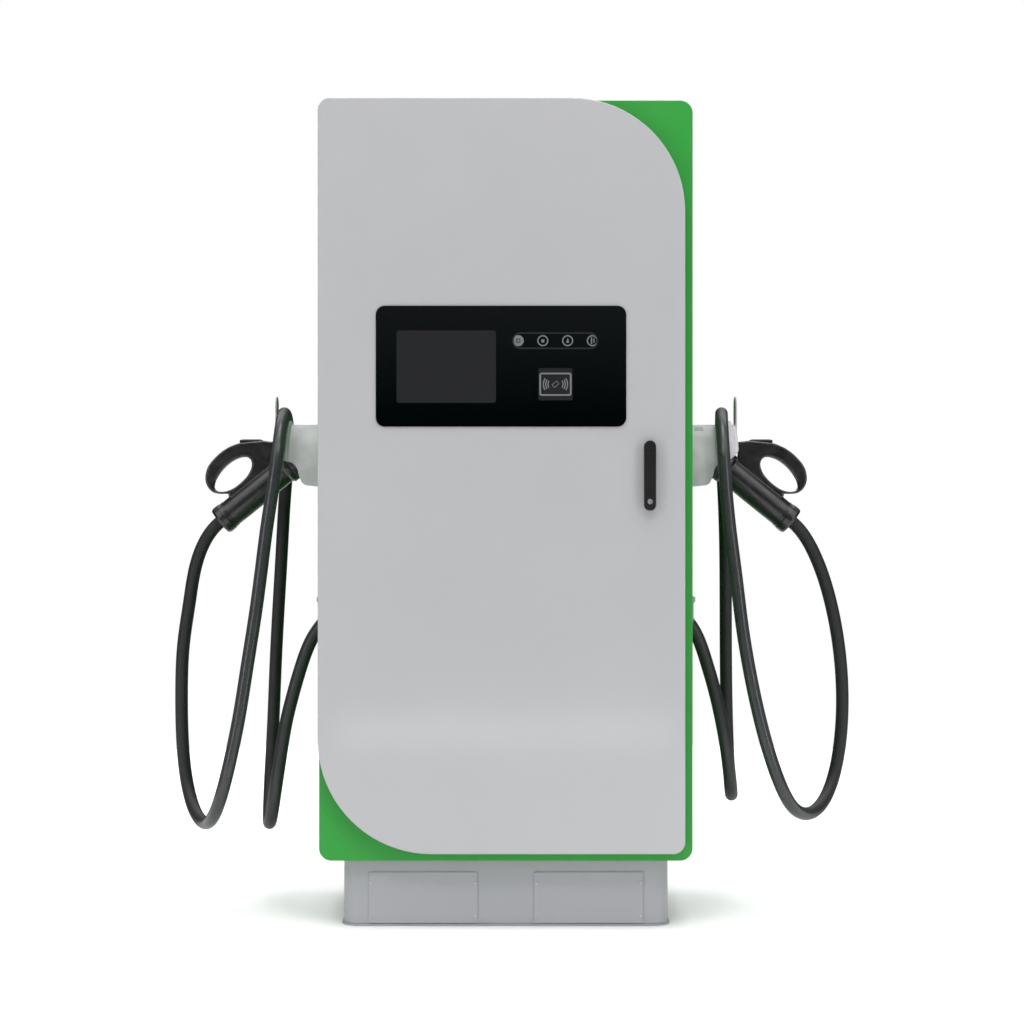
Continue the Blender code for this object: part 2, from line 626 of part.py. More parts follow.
def build_lock(hinge):
    outline = stadium(HANDLE_X, HANDLE_BOTTOM, HANDLE_TOP, HANDLE_WIDTH)
    plate = depth_prism("lock_escutcheon", [outline], ESCUTCHEON_FRONT, DOOR_FRONT - GAP)
    hole = depth_rod("escutcheon_hole", HANDLE_X, SPINDLE_Z, ESCUTCHEON_FRONT - 0.01,
                     DOOR_FRONT + 0.01, 0.0070)
    hang(hinge, finish(cut(plate, hole), BLACK))

    turn = pivot("handle_axis", (HANDLE_X, at(LEVER_REAR), SPINDLE_Z), parent=hinge)
    half = HANDLE_WIDTH / 2
    head = arc((HANDLE_X, HANDLE_TOP - half), half, 0, 180)
    head += [(HANDLE_X - half, HANDLE_SPLIT - 0.002), (HANDLE_X + half, HANDLE_SPLIT - 0.002)]
    spindle = depth_prism("handle_spindle", [head], LEVER_FRONT, LEVER_REAR)
    shaft = depth_rod("spindle_shaft", HANDLE_X, SPINDLE_Z, LEVER_REAR - 0.004, -0.017, 0.006)
    cam = depth_rod("spindle_cam", HANDLE_X, SPINDLE_Z, -0.020, -0.016, 0.020)
    play, rise = 0.0005, HANDLE_APEX - HANDLE_SPLIT
    notch = depth_prism("lever_notch", [[(HANDLE_X - 2 * half, HANDLE_SPLIT - rise + play),
                                         (HANDLE_X, HANDLE_APEX + play),
                                         (HANDLE_X + 2 * half, HANDLE_SPLIT - rise + play)]],
                        LEVER_FRONT - 0.001, LEVER_REAR + GAP)
    finish(cut(fuse(spindle, shaft, cam), notch), BLACK, turn.location)
    hang(turn, spindle)

    edge = Vector((HANDLE_X, at(LEVER_FRONT), HANDLE_APEX))
    lift = pivot("lever_axis", edge, parent=turn)
    grip = arc((HANDLE_X, HANDLE_BOTTOM + half), half, 180, 360)
    grip += [(HANDLE_X + half, HANDLE_SPLIT), (HANDLE_X, HANDLE_APEX),
             (HANDLE_X - half, HANDLE_SPLIT)]
    lever = depth_prism("lock_lever", [grip], LEVER_FRONT, LEVER_REAR)
    lock_hole = depth_rod("lock_hole", HANDLE_X, CYLINDER_Z, LEVER_FRONT - 0.01,
                          LEVER_REAR + 0.01, 0.0053)
    finish(cut(lever, lock_hole), BLACK, edge)
    hang(lift, lever)
    cylinder = depth_rod("lock_cylinder", HANDLE_X, CYLINDER_Z, -FRONT_PROUD, LEVER_REAR - 0.001,
                         0.0050)
    finish(cylinder, STEEL)
    hang(lift, cylinder)

    low, high = ROD_DEPTHS
    for name, offset, bottom, top in (("upper", ROD_OFFSET, 0.968, 1.505),
                                      ("lower", -ROD_OFFSET, 0.198, 0.960)):
        bar = box(f"lock_rod_{name}", (HANDLE_X + offset - 0.006, low, bottom),
                  (HANDLE_X + offset + 0.006, high, top))
        hang(hinge, finish(bar, STEEL))


# ---------------------------------------------------------------- holders and guns
def gun_point(along, up):
    """World place, on the right-hand side, of a point given along and above the gun's axis."""
    axis = Vector((math.cos(GUN_TILT), 0.0, -math.sin(GUN_TILT)))
    normal = Vector((math.sin(GUN_TILT), 0.0, math.cos(GUN_TILT)))
    return GUN_NOSE + axis * along + normal * up + Vector((0.0, at(HOLDER_DEPTH), 0.0))


def turned(name, profile, surface, segments=24):
    """Solid turned about its own Z, placed with that axis along the gun's, from the nose on.

    The profile is radius and distance from the nose, from the outer side's far end inwards.
    """
    mesh = bpy.data.meshes.new(name)
    edges = [(k, k + 1) for k in range(len(profile) - 1)]
    mesh.from_pydata([(radius, 0.0, along) for radius, along in profile], edges, [])
    mesh.materials.append(surface)
    piece = add_object(name, mesh)
    spin = piece.modifiers.new("turned", "SCREW")
    spin.steps = spin.render_steps = segments
    spin.merge_threshold = 0.0001
    spin.use_merge_vertices = True
    piece.rotation_euler = (0.0, math.pi / 2 + GUN_TILT, 0.0)
    piece.location = gun_point(0.0, 0.0)
    return piece


def build_holder(side, group):
    y = at(HOLDER_DEPTH)
    wall = SHELL_HALF_WIDTH + GAP
    bottom = 0.890
    centre_z = SADDLE_TOP - SADDLE_RADIUS

    def saddle(radius, floor):
        return arc((y, centre_z), radius, 0, 180) + [(y - radius, floor), (y + radius, floor)]

    body = prism(f"holder_{side}", [saddle(SADDLE_RADIUS, bottom)], "X", wall, HOLDER_REACH)
    profile = [(0.30, 1.10), (0.30, 0.80), (0.410, 0.80), (0.410, bottom)]
    profile += arc((0.410, 0.904), 0.014, -90, -15)[1:]
    profile += [(0.4285, 0.9126)]
    profile += arc((0.4560, 0.9125), 0.0275, 165, 90)
    profile += [(0.4640, 0.944), (0.4760, 0.954), (HOLDER_REACH, 0.962), (HOLDER_REACH, 1.10)]
    envelope = prism("holder_envelope", [profile], "Y", y - 0.2, y + 0.2)
    rib = prism("cable_rib", [saddle(SADDLE_RADIUS + 0.0080, centre_z)], "X", 0.451, 0.473)
    fuse(body, rib)
    combine(body, "INTERSECT", [envelope])
    core = prism("holder_core", [saddle(SADDLE_RADIUS - 0.008, bottom + 0.008)], "X",
                 wall - 0.01, 0.404)
    bore = rod("socket_bore", gun_point(-0.0090, 0.0), gun_point(0.120, 0.0), 0.0375, segments=32)
    cut(body, core, bore)
    finish(body, HOLDER_GREY)
    hang(group, body, envelope, rib, core, bore)

    plate_loop = rounded_rectangle(y - 0.023, y + 0.023, 0.968, 1.078, (0.006, 0.006, 0.019, 0.019))
    plate = prism(f"cable_retainer_{side}", [plate_loop], "X", HOLDER_REACH + GAP,
                  HOLDER_REACH + GAP + 0.003)
    hang(group, finish(plate, HOLDER_GREY))

    socket = [(0.0, -0.003), (0.0265, -0.003), (0.0265, SOCKET_MOUTH), (0.037, SOCKET_MOUTH),
              (0.037, -0.008), (0.0, -0.008)]
    hang(group, turned(f"gun_socket_{side}", socket, BLACK))


def gun_handle_outlines():
    """Outline of the gun's loop handle and of the finger opening, along and above its axis."""
    outer = [(0.1975, 0.0080), (0.1975, 0.0305), (0.1942, 0.0346), (0.2003, 0.0390),
             (0.2095, 0.0464), (0.2160, 0.0540), (0.2192, 0.0625), (0.2196, 0.0712),
             (0.2172, 0.0811), (0.2124, 0.0894), (0.2060, 0.0964), (0.1963, 0.1036),
             (0.1850, 0.1081), (0.1728, 0.1106), (0.1600, 0.1120), (0.1470, 0.1121),
             (0.1333, 0.1106), (0.1234, 0.1080), (0.1161, 0.1057), (0.1088, 0.1028),
             (0.0660, 0.0745), (0.0562, 0.0642), (0.0520, 0.0600), (0.0720, 0.0330),
             (0.0720, 0.0080)]
    opening = [(0.2118, 0.0600), (0.2100, 0.0655), (0.2022, 0.0722), (0.1943, 0.0763),
               (0.1838, 0.0799), (0.1708, 0.0828), (0.1592, 0.0838), (0.1463, 0.0833),
               (0.1359, 0.0813), (0.1263, 0.0779), (0.1190, 0.0733), (0.1146, 0.0680),
               (0.1131, 0.0610), (0.1156, 0.0534), (0.1223, 0.0467), (0.1322, 0.0412),
               (0.1443, 0.0376), (0.1575, 0.0361), (0.1700, 0.0360), (0.1809, 0.0372),
               (0.1909, 0.0400), (0.1994, 0.0442), (0.2065, 0.0500), (0.2107, 0.0552)]
    return outer, opening


def build_gun(side, group):
    profile = [(0.0, GUN_LENGTH), (0.0285, GUN_LENGTH), (0.0310, 0.2410), (0.0310, 0.2290),
               (0.0295, 0.2240), (0.0290, 0.0720), (0.0340, 0.0680), (0.0340, 0.0600),
               (0.0335, 0.0582), (0.0252, 0.0582), (0.0252, 0.0020), (0.0240, 0.0), (0.0, 0.0)]
    gun = turned(f"charging_gun_{side}", profile, BLACK, 28)
    loops = [[tuple(gun_point(along, up).xz) for along, up in loop]
             for loop in gun_handle_outlines()]
    y = at(HOLDER_DEPTH)
    handle = prism("gun_handle", loops, "Y", y - 0.016, y + 0.016)
    round_edges(handle, 0.0018)
    fuse(gun, handle)
    x_low, x_high, top, bottom = 0.5140, 0.5615, 0.9886, 0.9720
    pocket = box("button_pocket", (x_low - 0.0006, HOLDER_DEPTH - 0.0096, bottom - 0.006),
                 (x_high + 0.0006, HOLDER_DEPTH + 0.0096, top + 0.02))
    cut(gun, pocket)
    hang(group, gun, handle, pocket)
    button = box(f"gun_button_{side}", (x_low, HOLDER_DEPTH - 0.009, bottom),
                 (x_high, HOLDER_DEPTH + 0.009, top))
    hang(group, finish(round_edges(button, 0.0015), BLACK))


def build_cable_exit(side, group):
    down = Vector((math.sin(EXIT_TILT), 0.0, -math.cos(EXIT_TILT)))
    exit_point = Vector((EXIT_X, at(EXIT_DEPTH), EXIT_Z))
    wall = SHELL_HALF_WIDTH + GAP
    profile = [(wall, 0.578), (0.3780, 0.578), (0.3880, 0.612), (0.3880, 0.646),
               (0.3915, 0.650), (0.3915, 0.659), (wall, 0.666)]
    y = at(EXIT_DEPTH)
    hood = prism(f"cable_exit_hood_{side}", [profile], "Y", y - 0.030, y + 0.030)
    bore = rod("exit_bore", exit_point - down * 0.060, exit_point + down * 0.050, 0.0160)
    cut(hood, bore)
    finish(hood, PLINTH_GREY)
    relief = rod(f"strain_relief_{side}", exit_point - down * 0.042, exit_point - down * GAP,
                 0.0155, end_radius=0.0135)
    finish(relief, RUBBER)
    hang(group, hood, bore, relief)


# ---------------------------------------------------------------- cables
def smooth_route(points, start, end, step):
    """Evenly spaced points on the cubic spline through a route, with its end directions."""
    knots = np.array(points)
    spans = np.linalg.norm(np.diff(knots, axis=0), axis=1)
    count = len(knots)
    matrix = np.zeros((count, count))
    target = np.zeros((count, 3))
    matrix[0, 0] = matrix[-1, -1] = 1.0
    target[0], target[-1] = start, end
    for k in range(1, count - 1):
        before, after = spans[k - 1], spans[k]
        matrix[k, k - 1:k + 2] = after, 2 * (before + after), before
        target[k] = 3 * (after / before * (knots[k] - knots[k - 1])
                         + before / after * (knots[k + 1] - knots[k]))
    slopes = np.linalg.solve(matrix, target)
    fine = [knots[0]]
    for k, span in enumerate(spans):
        for t in np.linspace(0.0, 1.0, 25)[1:]:
            fine.append((2 * t**3 - 3 * t**2 + 1) * knots[k] + (t**3 - 2 * t**2 + t) * span * slopes[k]
                        + (3 * t**2 - 2 * t**3) * knots[k + 1] + (t**3 - t**2) * span * slopes[k + 1])
    fine = np.array(fine)
    lengths = np.concatenate(([0.0], np.cumsum(np.linalg.norm(np.diff(fine, axis=0), axis=1))))
    places = np.linspace(0.0, lengths[-1], round(lengths[-1] / step) + 1)
    return np.column_stack([np.interp(places, lengths, fine[:, axis]) for axis in range(3)])


def build_cable(side):
    sign = 1 if side == "right" else -1
    route = [(x, at(depth), z) for x, depth, z in CABLE_ROUTES[side]]
    start = (sign * math.sin(EXIT_TILT), 0.0, -math.cos(EXIT_TILT))
    end = (-sign * math.cos(GUN_TILT), 0.0, math.sin(GUN_TILT))
    places = [Vector(place) for place in smooth_route(route, start, end, CABLE_STEP)]
    start, end = Vector(start), Vector(end)
    places[-1] -= end * 2 * GAP
    places.insert(1, places[0] + start * CABLE_STUB)
    places.insert(-1, places[-1] - end * CABLE_STUB)
    curve = bpy.data.curves.new(f"cable_{side}", "CURVE")
    curve.dimensions = "3D"
    curve.bevel_depth = CABLE_DIAMETER / 2
    curve.bevel_resolution = 2
    curve.use_fill_caps = True
    spline = curve.splines.new("POLY")
    spline.points.add(len(places) - 1)
    for point, place in zip(spline.points, places):
        point.co = (*place, 1.0)
    cable = bpy.data.objects.new(f"cable_{side}", curve)
    PARTS.objects.link(cable)
    curve.materials.append(CABLE_BLACK)


def main():
    build_plinth()
    build_fork_covers()
    build_shell()
    build_gland_plate()
    build_rear_panel()
    build_exhaust_hood()
    build_rack()
    build_rails_and_plate()
    build_devices()
    build_breaker()
    build_fans()
    hinge = pivot("door_hinge_axis", (HINGE_X, at(HINGE_DEPTH), SHELL_BOTTOM))
    build_door(hinge)
    build_display(hinge)
    build_hinges(hinge)
    build_lock(hinge)
    for side, turn in SIDES.items():
        holder_group = pivot(f"holder_group_{side}", (0.0, at(HOLDER_DEPTH), 0.0), turn)
        build_holder(side, holder_group)
        build_gun(side, holder_group)
        exit_group = pivot(f"exit_group_{side}", (0.0, at(EXIT_DEPTH), 0.0), turn)
        build_cable_exit(side, exit_group)
        build_cable(side)


main()
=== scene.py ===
"""Looks of the floor-standing charging post: outer sheet metal, guns, cables and the inside.

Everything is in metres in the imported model's frame: +Z up, +X to the right of someone facing
the door, +Y from the door to the rear. Depths are measured from the front plane of the cabinet
shell towards the rear, and at(depth) gives their world Y.
"""
import math

import bmesh
import bpy
import numpy as np
from mathutils import Matrix, Vector


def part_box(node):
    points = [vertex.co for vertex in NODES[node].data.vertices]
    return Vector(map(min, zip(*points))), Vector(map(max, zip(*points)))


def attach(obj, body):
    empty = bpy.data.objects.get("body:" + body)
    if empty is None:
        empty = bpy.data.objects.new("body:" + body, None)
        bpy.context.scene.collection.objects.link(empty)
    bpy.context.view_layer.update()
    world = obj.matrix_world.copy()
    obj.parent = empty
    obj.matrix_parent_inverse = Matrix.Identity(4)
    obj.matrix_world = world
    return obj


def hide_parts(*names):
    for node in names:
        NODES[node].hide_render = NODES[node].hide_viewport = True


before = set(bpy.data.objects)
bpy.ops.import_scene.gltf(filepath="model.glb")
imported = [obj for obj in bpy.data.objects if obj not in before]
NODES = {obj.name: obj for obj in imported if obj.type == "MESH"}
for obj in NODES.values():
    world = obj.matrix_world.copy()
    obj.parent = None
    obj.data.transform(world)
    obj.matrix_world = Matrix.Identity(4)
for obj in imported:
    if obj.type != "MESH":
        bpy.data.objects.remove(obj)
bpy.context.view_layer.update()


# ---------------------------------------------------------------- places (metres)
SHELL_DEPTH = 0.480
SHEET = 0.0025
FRONT_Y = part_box("cabinet_shell")[1].y - SHELL_DEPTH

SHELL = (-0.375, 0.375, 0.135, 1.661)            # x low, x high, z low, z high
SHELL_CORNER = 0.025
DOOR = (-0.375, 0.358, 0.1527, 1.661)
DOOR_SWEEP, DOOR_CORNER = 0.227, 0.024
DOOR_FRONT, DOOR_REAR = -0.029, -0.005
DOOR_SHEET = 0.002
OPENING_INSET = 0.036
UPSTAND_REACH = -0.015
FASCIA = (-0.259, 0.240, 1.005, 1.246)
WINDOW = (-0.235, 0.216, 1.029, 1.222)

HANDLE_X = 0.2868
HANDLE_WIDTH = 0.0235
HANDLE_TOP, HANDLE_BOTTOM = 0.977, 0.8376
HANDLE_SPLIT, HANDLE_APEX = 0.950, 0.9614        # the lever's shoulders and its pointed top
SPINDLE_Z, CYLINDER_Z = 0.964, 0.8555

HOLDER_DEPTH = 0.230
SADDLE_RADIUS, SADDLE_TOP, HOLDER_REACH = 0.105, 1.019, 0.4817
GUN_TILT = math.radians(39.0)
GUN_NOSE = Vector((0.412, 0.0, 0.969))
GUN_LENGTH = 0.2455
SOCKET_MOUTH = 0.0577
WALL = 0.3753                                    # outer side of the shell's side walls

CABLE_DIAMETER = 0.027
EXIT_DEPTH, EXIT_X, EXIT_Z = 0.165, 0.382, 0.603
EXIT_TILT = math.radians(38.0)
FAN_X, FAN_Z, FAN_BORE = 0.105, 1.440, 0.076
LOUVRE_X, LOUVRE_ROWS, LOUVRE_Z, LOUVRE_PITCH = (-0.125, 0.125), 9, 0.270, 0.032

# Route of each cable from its exit in the side wall to the gun: x, depth, z.
CABLE_ROUTES = {
    "left": [
        (-0.3820, 0.1650, 0.6030), (-0.4010, 0.1650, 0.5760), (-0.4220, 0.1641, 0.5270),
        (-0.4420, 0.1626, 0.4600), (-0.4580, 0.1609, 0.3940), (-0.4680, 0.1594, 0.3329),
        (-0.4775, 0.1595, 0.2692), (-0.4895, 0.1909, 0.2075), (-0.5040, 0.2682, 0.1744),
        (-0.5125, 0.3428, 0.2008), (-0.5141, 0.3801, 0.2587), (-0.5100, 0.3838, 0.3399),
        (-0.5060, 0.3803, 0.4200), (-0.5015, 0.3764, 0.5200), (-0.4945, 0.3697, 0.6401),
        (-0.4870, 0.3635, 0.7599), (-0.4790, 0.3590, 0.8850), (-0.4715, 0.3470, 0.9680),
        (-0.4685, 0.2980, 1.0233), (-0.4675, 0.2300, 1.0425), (-0.4660, 0.1620, 1.0233),
        (-0.4680, 0.1130, 0.9680), (-0.4774, 0.1010, 0.8900), (-0.4892, 0.1010, 0.8145),
        (-0.5012, 0.0981, 0.7200), (-0.5147, 0.0910, 0.6150), (-0.5295, 0.0834, 0.5161),
        (-0.5435, 0.0746, 0.4219), (-0.5587, 0.0699, 0.3429), (-0.5756, 0.0709, 0.2731),
        (-0.5982, 0.1031, 0.2147), (-0.6273, 0.1654, 0.1883), (-0.6564, 0.2238, 0.2063),
        (-0.6780, 0.2619, 0.2593), (-0.6886, 0.2667, 0.3513), (-0.6893, 0.2585, 0.4529),
        (-0.6836, 0.2484, 0.5551), (-0.6698, 0.2402, 0.6448), (-0.6474, 0.2325, 0.7475),
        (-0.6028, 0.2300, 0.8145)],
    "right": [
        (0.3820, 0.1650, 0.6030), (0.3990, 0.1650, 0.5740), (0.4167, 0.1634, 0.5235),
        (0.4321, 0.1608, 0.4701), (0.4460, 0.1582, 0.4099), (0.4559, 0.1564, 0.3556),
        (0.4645, 0.1691, 0.2984), (0.4730, 0.2109, 0.2517), (0.4790, 0.2689, 0.2349),
        (0.4823, 0.3288, 0.2519), (0.4830, 0.3716, 0.2998), (0.4815, 0.3854, 0.3700),
        (0.4795, 0.3829, 0.4499), (0.4782, 0.3784, 0.5400), (0.4772, 0.3709, 0.6501),
        (0.4755, 0.3639, 0.7699), (0.4710, 0.3590, 0.8850), (0.4655, 0.3470, 0.9680),
        (0.4605, 0.2980, 1.0233), (0.4545, 0.2300, 1.0425), (0.4485, 0.1620, 1.0233),
        (0.4470, 0.1130, 0.9680), (0.4510, 0.1010, 0.8900), (0.4610, 0.1019, 0.7901),
        (0.4725, 0.1003, 0.7000), (0.4845, 0.0963, 0.6000), (0.4998, 0.0917, 0.5055),
        (0.5172, 0.0859, 0.4210), (0.5367, 0.0822, 0.3466), (0.5603, 0.0862, 0.2798),
        (0.5898, 0.1159, 0.2285), (0.6281, 0.1657, 0.2072), (0.6653, 0.2146, 0.2235),
        (0.6928, 0.2482, 0.2713), (0.7091, 0.2552, 0.3526), (0.7124, 0.2496, 0.4544),
        (0.7035, 0.2431, 0.5555), (0.6845, 0.2383, 0.6510), (0.6491, 0.2326, 0.7504),
        (0.6028, 0.2300, 0.8145)],
}
CABLE_IN_GUN = 0.055                             # how far each cable runs on inside its gun

CAMERA_DISTANCE = 4.400                          # from the shell's front plane
CAMERA_X, CAMERA_Z = 0.0124, 0.835
CAMERA_LENS = 77.11

FLOOR_RADIUS = 3.3

CORNER_STEPS = 20
GAP = 0.0003                                     # between pieces that lie against each other
SIDES = (("left", -1), ("right", 1))


def at(depth):
    """World Y of a depth behind the shell's front plane."""
    return FRONT_Y + depth


# ---------------------------------------------------------------- camera, light and floor
def add(name, data):
    """New object in the scene for a mesh, curve, lamp or camera."""
    piece = bpy.data.objects.new(name, data)
    bpy.context.scene.collection.objects.link(piece)
    return piece


def make_camera():
    data = bpy.data.cameras.new("camera")
    data.lens = CAMERA_LENS
    data.clip_end = 60.0
    camera = add("camera", data)
    camera.location = (CAMERA_X, at(-CAMERA_DISTANCE), CAMERA_Z)
    camera.rotation_euler = (math.radians(90.0), 0.0, 0.0)
    bpy.context.scene.camera = camera


def area_light(name, place, target, size, power):
    data = bpy.data.lights.new(name, "AREA")
    data.shape = "RECTANGLE"
    data.size, data.size_y = size
    data.energy = power
    light = add(name, data)
    light.location = place
    light.rotation_euler = (Vector(target) - Vector(place)).to_track_quat("-Z", "Y").to_euler()


def make_world():
    """White surroundings for the eye; for light, a soft grey dome that is lighter overhead."""
    world = bpy.data.worlds.new("studio")
    bpy.context.scene.world = world
    world.use_nodes = True
    tree = world.node_tree
    tree.nodes.clear()
    place, split, ramp, dome, plain, eye, mix, out = (
        tree.nodes.new("ShaderNode" + kind)
        for kind in ("TexCoord", "SeparateXYZ", "ValToRGB", "Background", "Background",
                     "LightPath", "MixShader", "OutputWorld"))
    low, high = ramp.color_ramp.elements
    low.position, low.color = 0.0, (0.060, 0.061, 0.062, 1.0)
    high.position, high.color = 0.9, (0.24, 0.242, 0.246, 1.0)
    plain.inputs["Color"].default_value = (1.0, 1.0, 1.0, 1.0)
    for source, target in ((place.outputs["Generated"], split.inputs["Vector"]),
                           (split.outputs["Z"], ramp.inputs["Fac"]),
                           (ramp.outputs["Color"], dome.inputs["Color"]),
                           (eye.outputs["Is Camera Ray"], mix.inputs["Fac"]),
                           (dome.outputs["Background"], mix.inputs[1]),
                           (plain.outputs["Background"], mix.inputs[2]),
                           (mix.outputs["Shader"], out.inputs["Surface"])):
        tree.links.new(source, target)


def make_light():
    make_world()
    data = bpy.data.lights.new("soft_sun", "SUN")
    data.energy = 1.9
    data.angle = math.radians(40.0)
    add("soft_sun", data).rotation_euler = (math.radians(10.0), 0.0, 0.0)
    for side, sign in SIDES:
        area_light(f"strip_{side}", (sign * 2.6, -2.6, 1.3), (0.0, 0.0, 1.3), (0.55, 2.5), 26.0)
    for side, sign in SIDES:
        area_light(f"upper_{side}", (sign * 2.85, -1.65, 3.8), (sign * 0.5, 0.0, 0.9), (2.3, 2.3),
                   38.0)
    area_light("rear_overhead", (0.0, 2.9, 3.9), (0.0, 2.9, 0.0), (6.4, 3.6), 190.0)
    area_light("front_top", (0.0, -2.6, 3.3), (0.0, 0.0, 1.6), (2.4, 0.6), 34.0)
    area_light("low_strip", (0.0, at(-3.0), 0.10), (0.0, 0.0, 0.25), (1.15, 0.11), 2.3)
    bpy.context.scene.view_settings.view_transform = "Standard"


def make_floor():
    mesh = bpy.data.meshes.new("floor")
    rim = [(x, y, 0.0) for x, y in circle(0.0, 0.0, FLOOR_RADIUS, 96)]
    mesh.from_pydata(rim, [], [tuple(range(len(rim)))])
    floor = add("floor", mesh)
    floor.location.z = -0.0005
    paint = Nodes("pale_floor")
    paint.set(Base_Color=(0.88, 0.88, 0.88), Roughness=0.9, Specular_IOR_Level=0.0)
    mesh.materials.append(paint.material)


# ---------------------------------------------------------------- materials
class Nodes:
    """A material's node tree, with short calls for the nodes that the finishes below use."""

    def __init__(self, name):
        self.material = bpy.data.materials.new(name)
        self.material.use_nodes = True
        self.tree = self.material.node_tree
        self.shader = self.tree.nodes["Principled BSDF"]
        self.place = self.tree.nodes.new("ShaderNodeTexCoord").outputs["Object"]

    def put(self, target, value):
        """Give an input socket a value, a colour or a link."""
        if isinstance(value, tuple) and len(target.default_value) == len(value) + 1:
            value = (*value, 1.0)
        if isinstance(value, (tuple, int, float)):
            target.default_value = value
        else:
            self.tree.links.new(value, target)

    def fill(self, node, values):
        for socket, value in values.items():
            self.put(node.inputs[socket.replace("_", " ")], value)
        return node

    def new(self, kind, **values):
        return self.fill(self.tree.nodes.new("ShaderNode" + kind), values)

    def set(self, **values):
        self.fill(self.shader, values)

    def along(self, axis):
        return self.new("SeparateXYZ", Vector=self.place).outputs[axis]

    def stretched(self, scale):
        return self.new("Mapping", Vector=self.place, Scale=scale).outputs["Vector"]

    def noise(self, scale, detail=2.0, vector=None):
        return self.new("TexNoise", Vector=vector or self.place, Scale=scale,
                        Detail=detail).outputs["Fac"]

    def cells(self, scale, output="Color"):
        return self.new("TexVoronoi", Vector=self.place, Scale=scale).outputs[output]

    def between(self, value, low, high, from_low=0.3, from_high=0.7):
        return self.new("MapRange", Value=value, From_Min=from_low, From_Max=from_high,
                        To_Min=low, To_Max=high).outputs["Result"]

    def blend(self, factor, first, second):
        node = self.tree.nodes.new("ShaderNodeMix")
        node.data_type = "RGBA"
        return self.fill(node, {"Factor": factor, "A": first, "B": second}).outputs["Result"]

    def bump(self, height, distance, below=None):
        node = self.new("Bump", Height=height, Distance=distance)
        if below is not None:
            self.put(node.inputs["Normal"], below)
        return node.outputs["Normal"]


def shade(colour, factor):
    return tuple(part * factor for part in colour)


def powder_coat(name, colour, roughness=0.40, coat=0.0, level=0.5):
    """Sprayed paint: fine orange peel, slight tone drift over the sheet, dust in the grain."""
    n = Nodes(name)
    drift = n.between(n.noise(2.2, 3.0), 0.0, 1.0)
    speck = n.between(n.noise(520.0, 2.0), 0.0, 1.0, 0.35, 0.75)
    tone = n.blend(drift, shade(colour, 0.975), shade(colour, 1.02))
    n.set(Base_Color=n.blend(n.between(speck, 0.0, 0.35, 0.0, 1.0), tone, shade(colour, 0.95)),
          Roughness=n.between(n.noise(9.0, 3.0), roughness - 0.03, roughness + 0.05),
          Normal=n.bump(n.noise(640.0, 1.0), 0.00005, n.bump(n.noise(160.0, 1.0), 0.00006)),
          Specular_IOR_Level=level, Coat_Weight=coat, Coat_Roughness=0.10)
    return n.material


def moulded_plastic(name, colour, roughness, grain=0.00004, level=0.3, coat=0.0):
    """Spark-eroded mould texture with rubbed, slightly glossier patches."""
    n = Nodes(name)
    pits = n.cells(1500.0, "Distance")
    rub = n.between(n.noise(24.0, 4.0), 0.0, 1.0)
    n.set(Base_Color=n.blend(rub, shade(colour, 0.86), shade(colour, 1.16)),
          Roughness=n.between(n.noise(60.0, 3.0), roughness - 0.05, roughness + 0.06),
          Normal=n.bump(pits, grain, n.bump(n.noise(420.0, 2.0), grain)),
          Specular_IOR_Level=level, Coat_Weight=coat, Coat_Roughness=0.25)
    return n.material


def cable_sheath(name, colour):
    """Extruded rubber sheath with drag marks and scuffs, glossier and painted lighter at the
    front.
    """
    n = Nodes(name)
    depth, near, far = n.along("Y"), at(0.125), at(0.185)
    behind = n.between(depth, 0.0, 1.0, near, far)
    # Painted light: the strands nearest the front get a base colour 8.5 to 10 times lighter than
    # the strands behind.
    plain, scuffed = (n.blend(behind, shade(colour, front), shade(colour, rear))
                      for front, rear in ((8.5, 1.0), (10.0, 1.5)))
    n.set(Base_Color=n.blend(n.between(n.noise(18.0, 5.0), 0.0, 1.0, 0.45, 0.75), plain, scuffed),
          Roughness=n.between(depth, n.between(n.noise(35.0, 4.0), 0.26, 0.33), 0.60, near, far),
          Normal=n.bump(n.noise(1.0, 3.0, n.stretched((900.0, 900.0, 60.0))), 0.000004),
          Specular_IOR_Level=0.50)
    return n.material


def galvanised(name):
    """Zinc spangle: crystals a few millimetres across that differ in tone and gloss."""
    n = Nodes(name)
    crystal = n.new("SeparateColor", Color=n.cells(170.0))
    n.set(Base_Color=n.blend(crystal.outputs["Red"], (0.46, 0.47, 0.49), (0.63, 0.64, 0.65)),
          Roughness=n.between(crystal.outputs["Green"], 0.30, 0.48, 0.0, 1.0),
          Metallic=0.9, Normal=n.bump(n.noise(900.0), 0.00002))
    return n.material


def brushed_metal(name, colour, roughness, stretch=(40.0, 1400.0, 1400.0)):
    """Rolled or brushed metal with fine marks along one direction."""
    n = Nodes(name)
    marks = n.noise(1.0, 4.0, n.stretched(stretch))
    n.set(Base_Color=n.blend(marks, shade(colour, 0.86), shade(colour, 1.08)),
          Roughness=n.between(marks, roughness - 0.07, roughness + 0.09),
          Metallic=1.0, Normal=n.bump(marks, 0.000012))
    return n.material


def glossy_panel(name, colour, roughness, level=0.4, painted_reflection=None):
    """Printed acrylic or glass with a little dust and wiping haze.

    The last argument paints a reflection that is lighter towards the top: a height, a second
    height and the tint that the panel has reached there.
    """
    n = Nodes(name)
    haze = n.noise(7.0, 5.0, n.stretched((1.0, 1.0, 2.4)))
    dust = n.between(n.noise(1300.0, 1.0), 0.0, 1.0, 0.72, 0.82)
    dusty = shade(colour, 2.2)
    if painted_reflection is not None:
        low, high, tint = painted_reflection
        # Painted reflection: the colour and the dust run from the panel's own colour to the
        # lighter tint towards the top.
        share = n.between(n.along("Z"), 0.0, 1.0, low, high)
        colour = n.blend(share, colour, tint)
        dusty = n.blend(share, shade(tint, 1.2), shade(tint, 1.6))
    n.set(Base_Color=n.blend(dust, colour, dusty),
          Roughness=n.between(haze, roughness - 0.03, roughness + 0.07),
          Specular_IOR_Level=level)
    return n.material


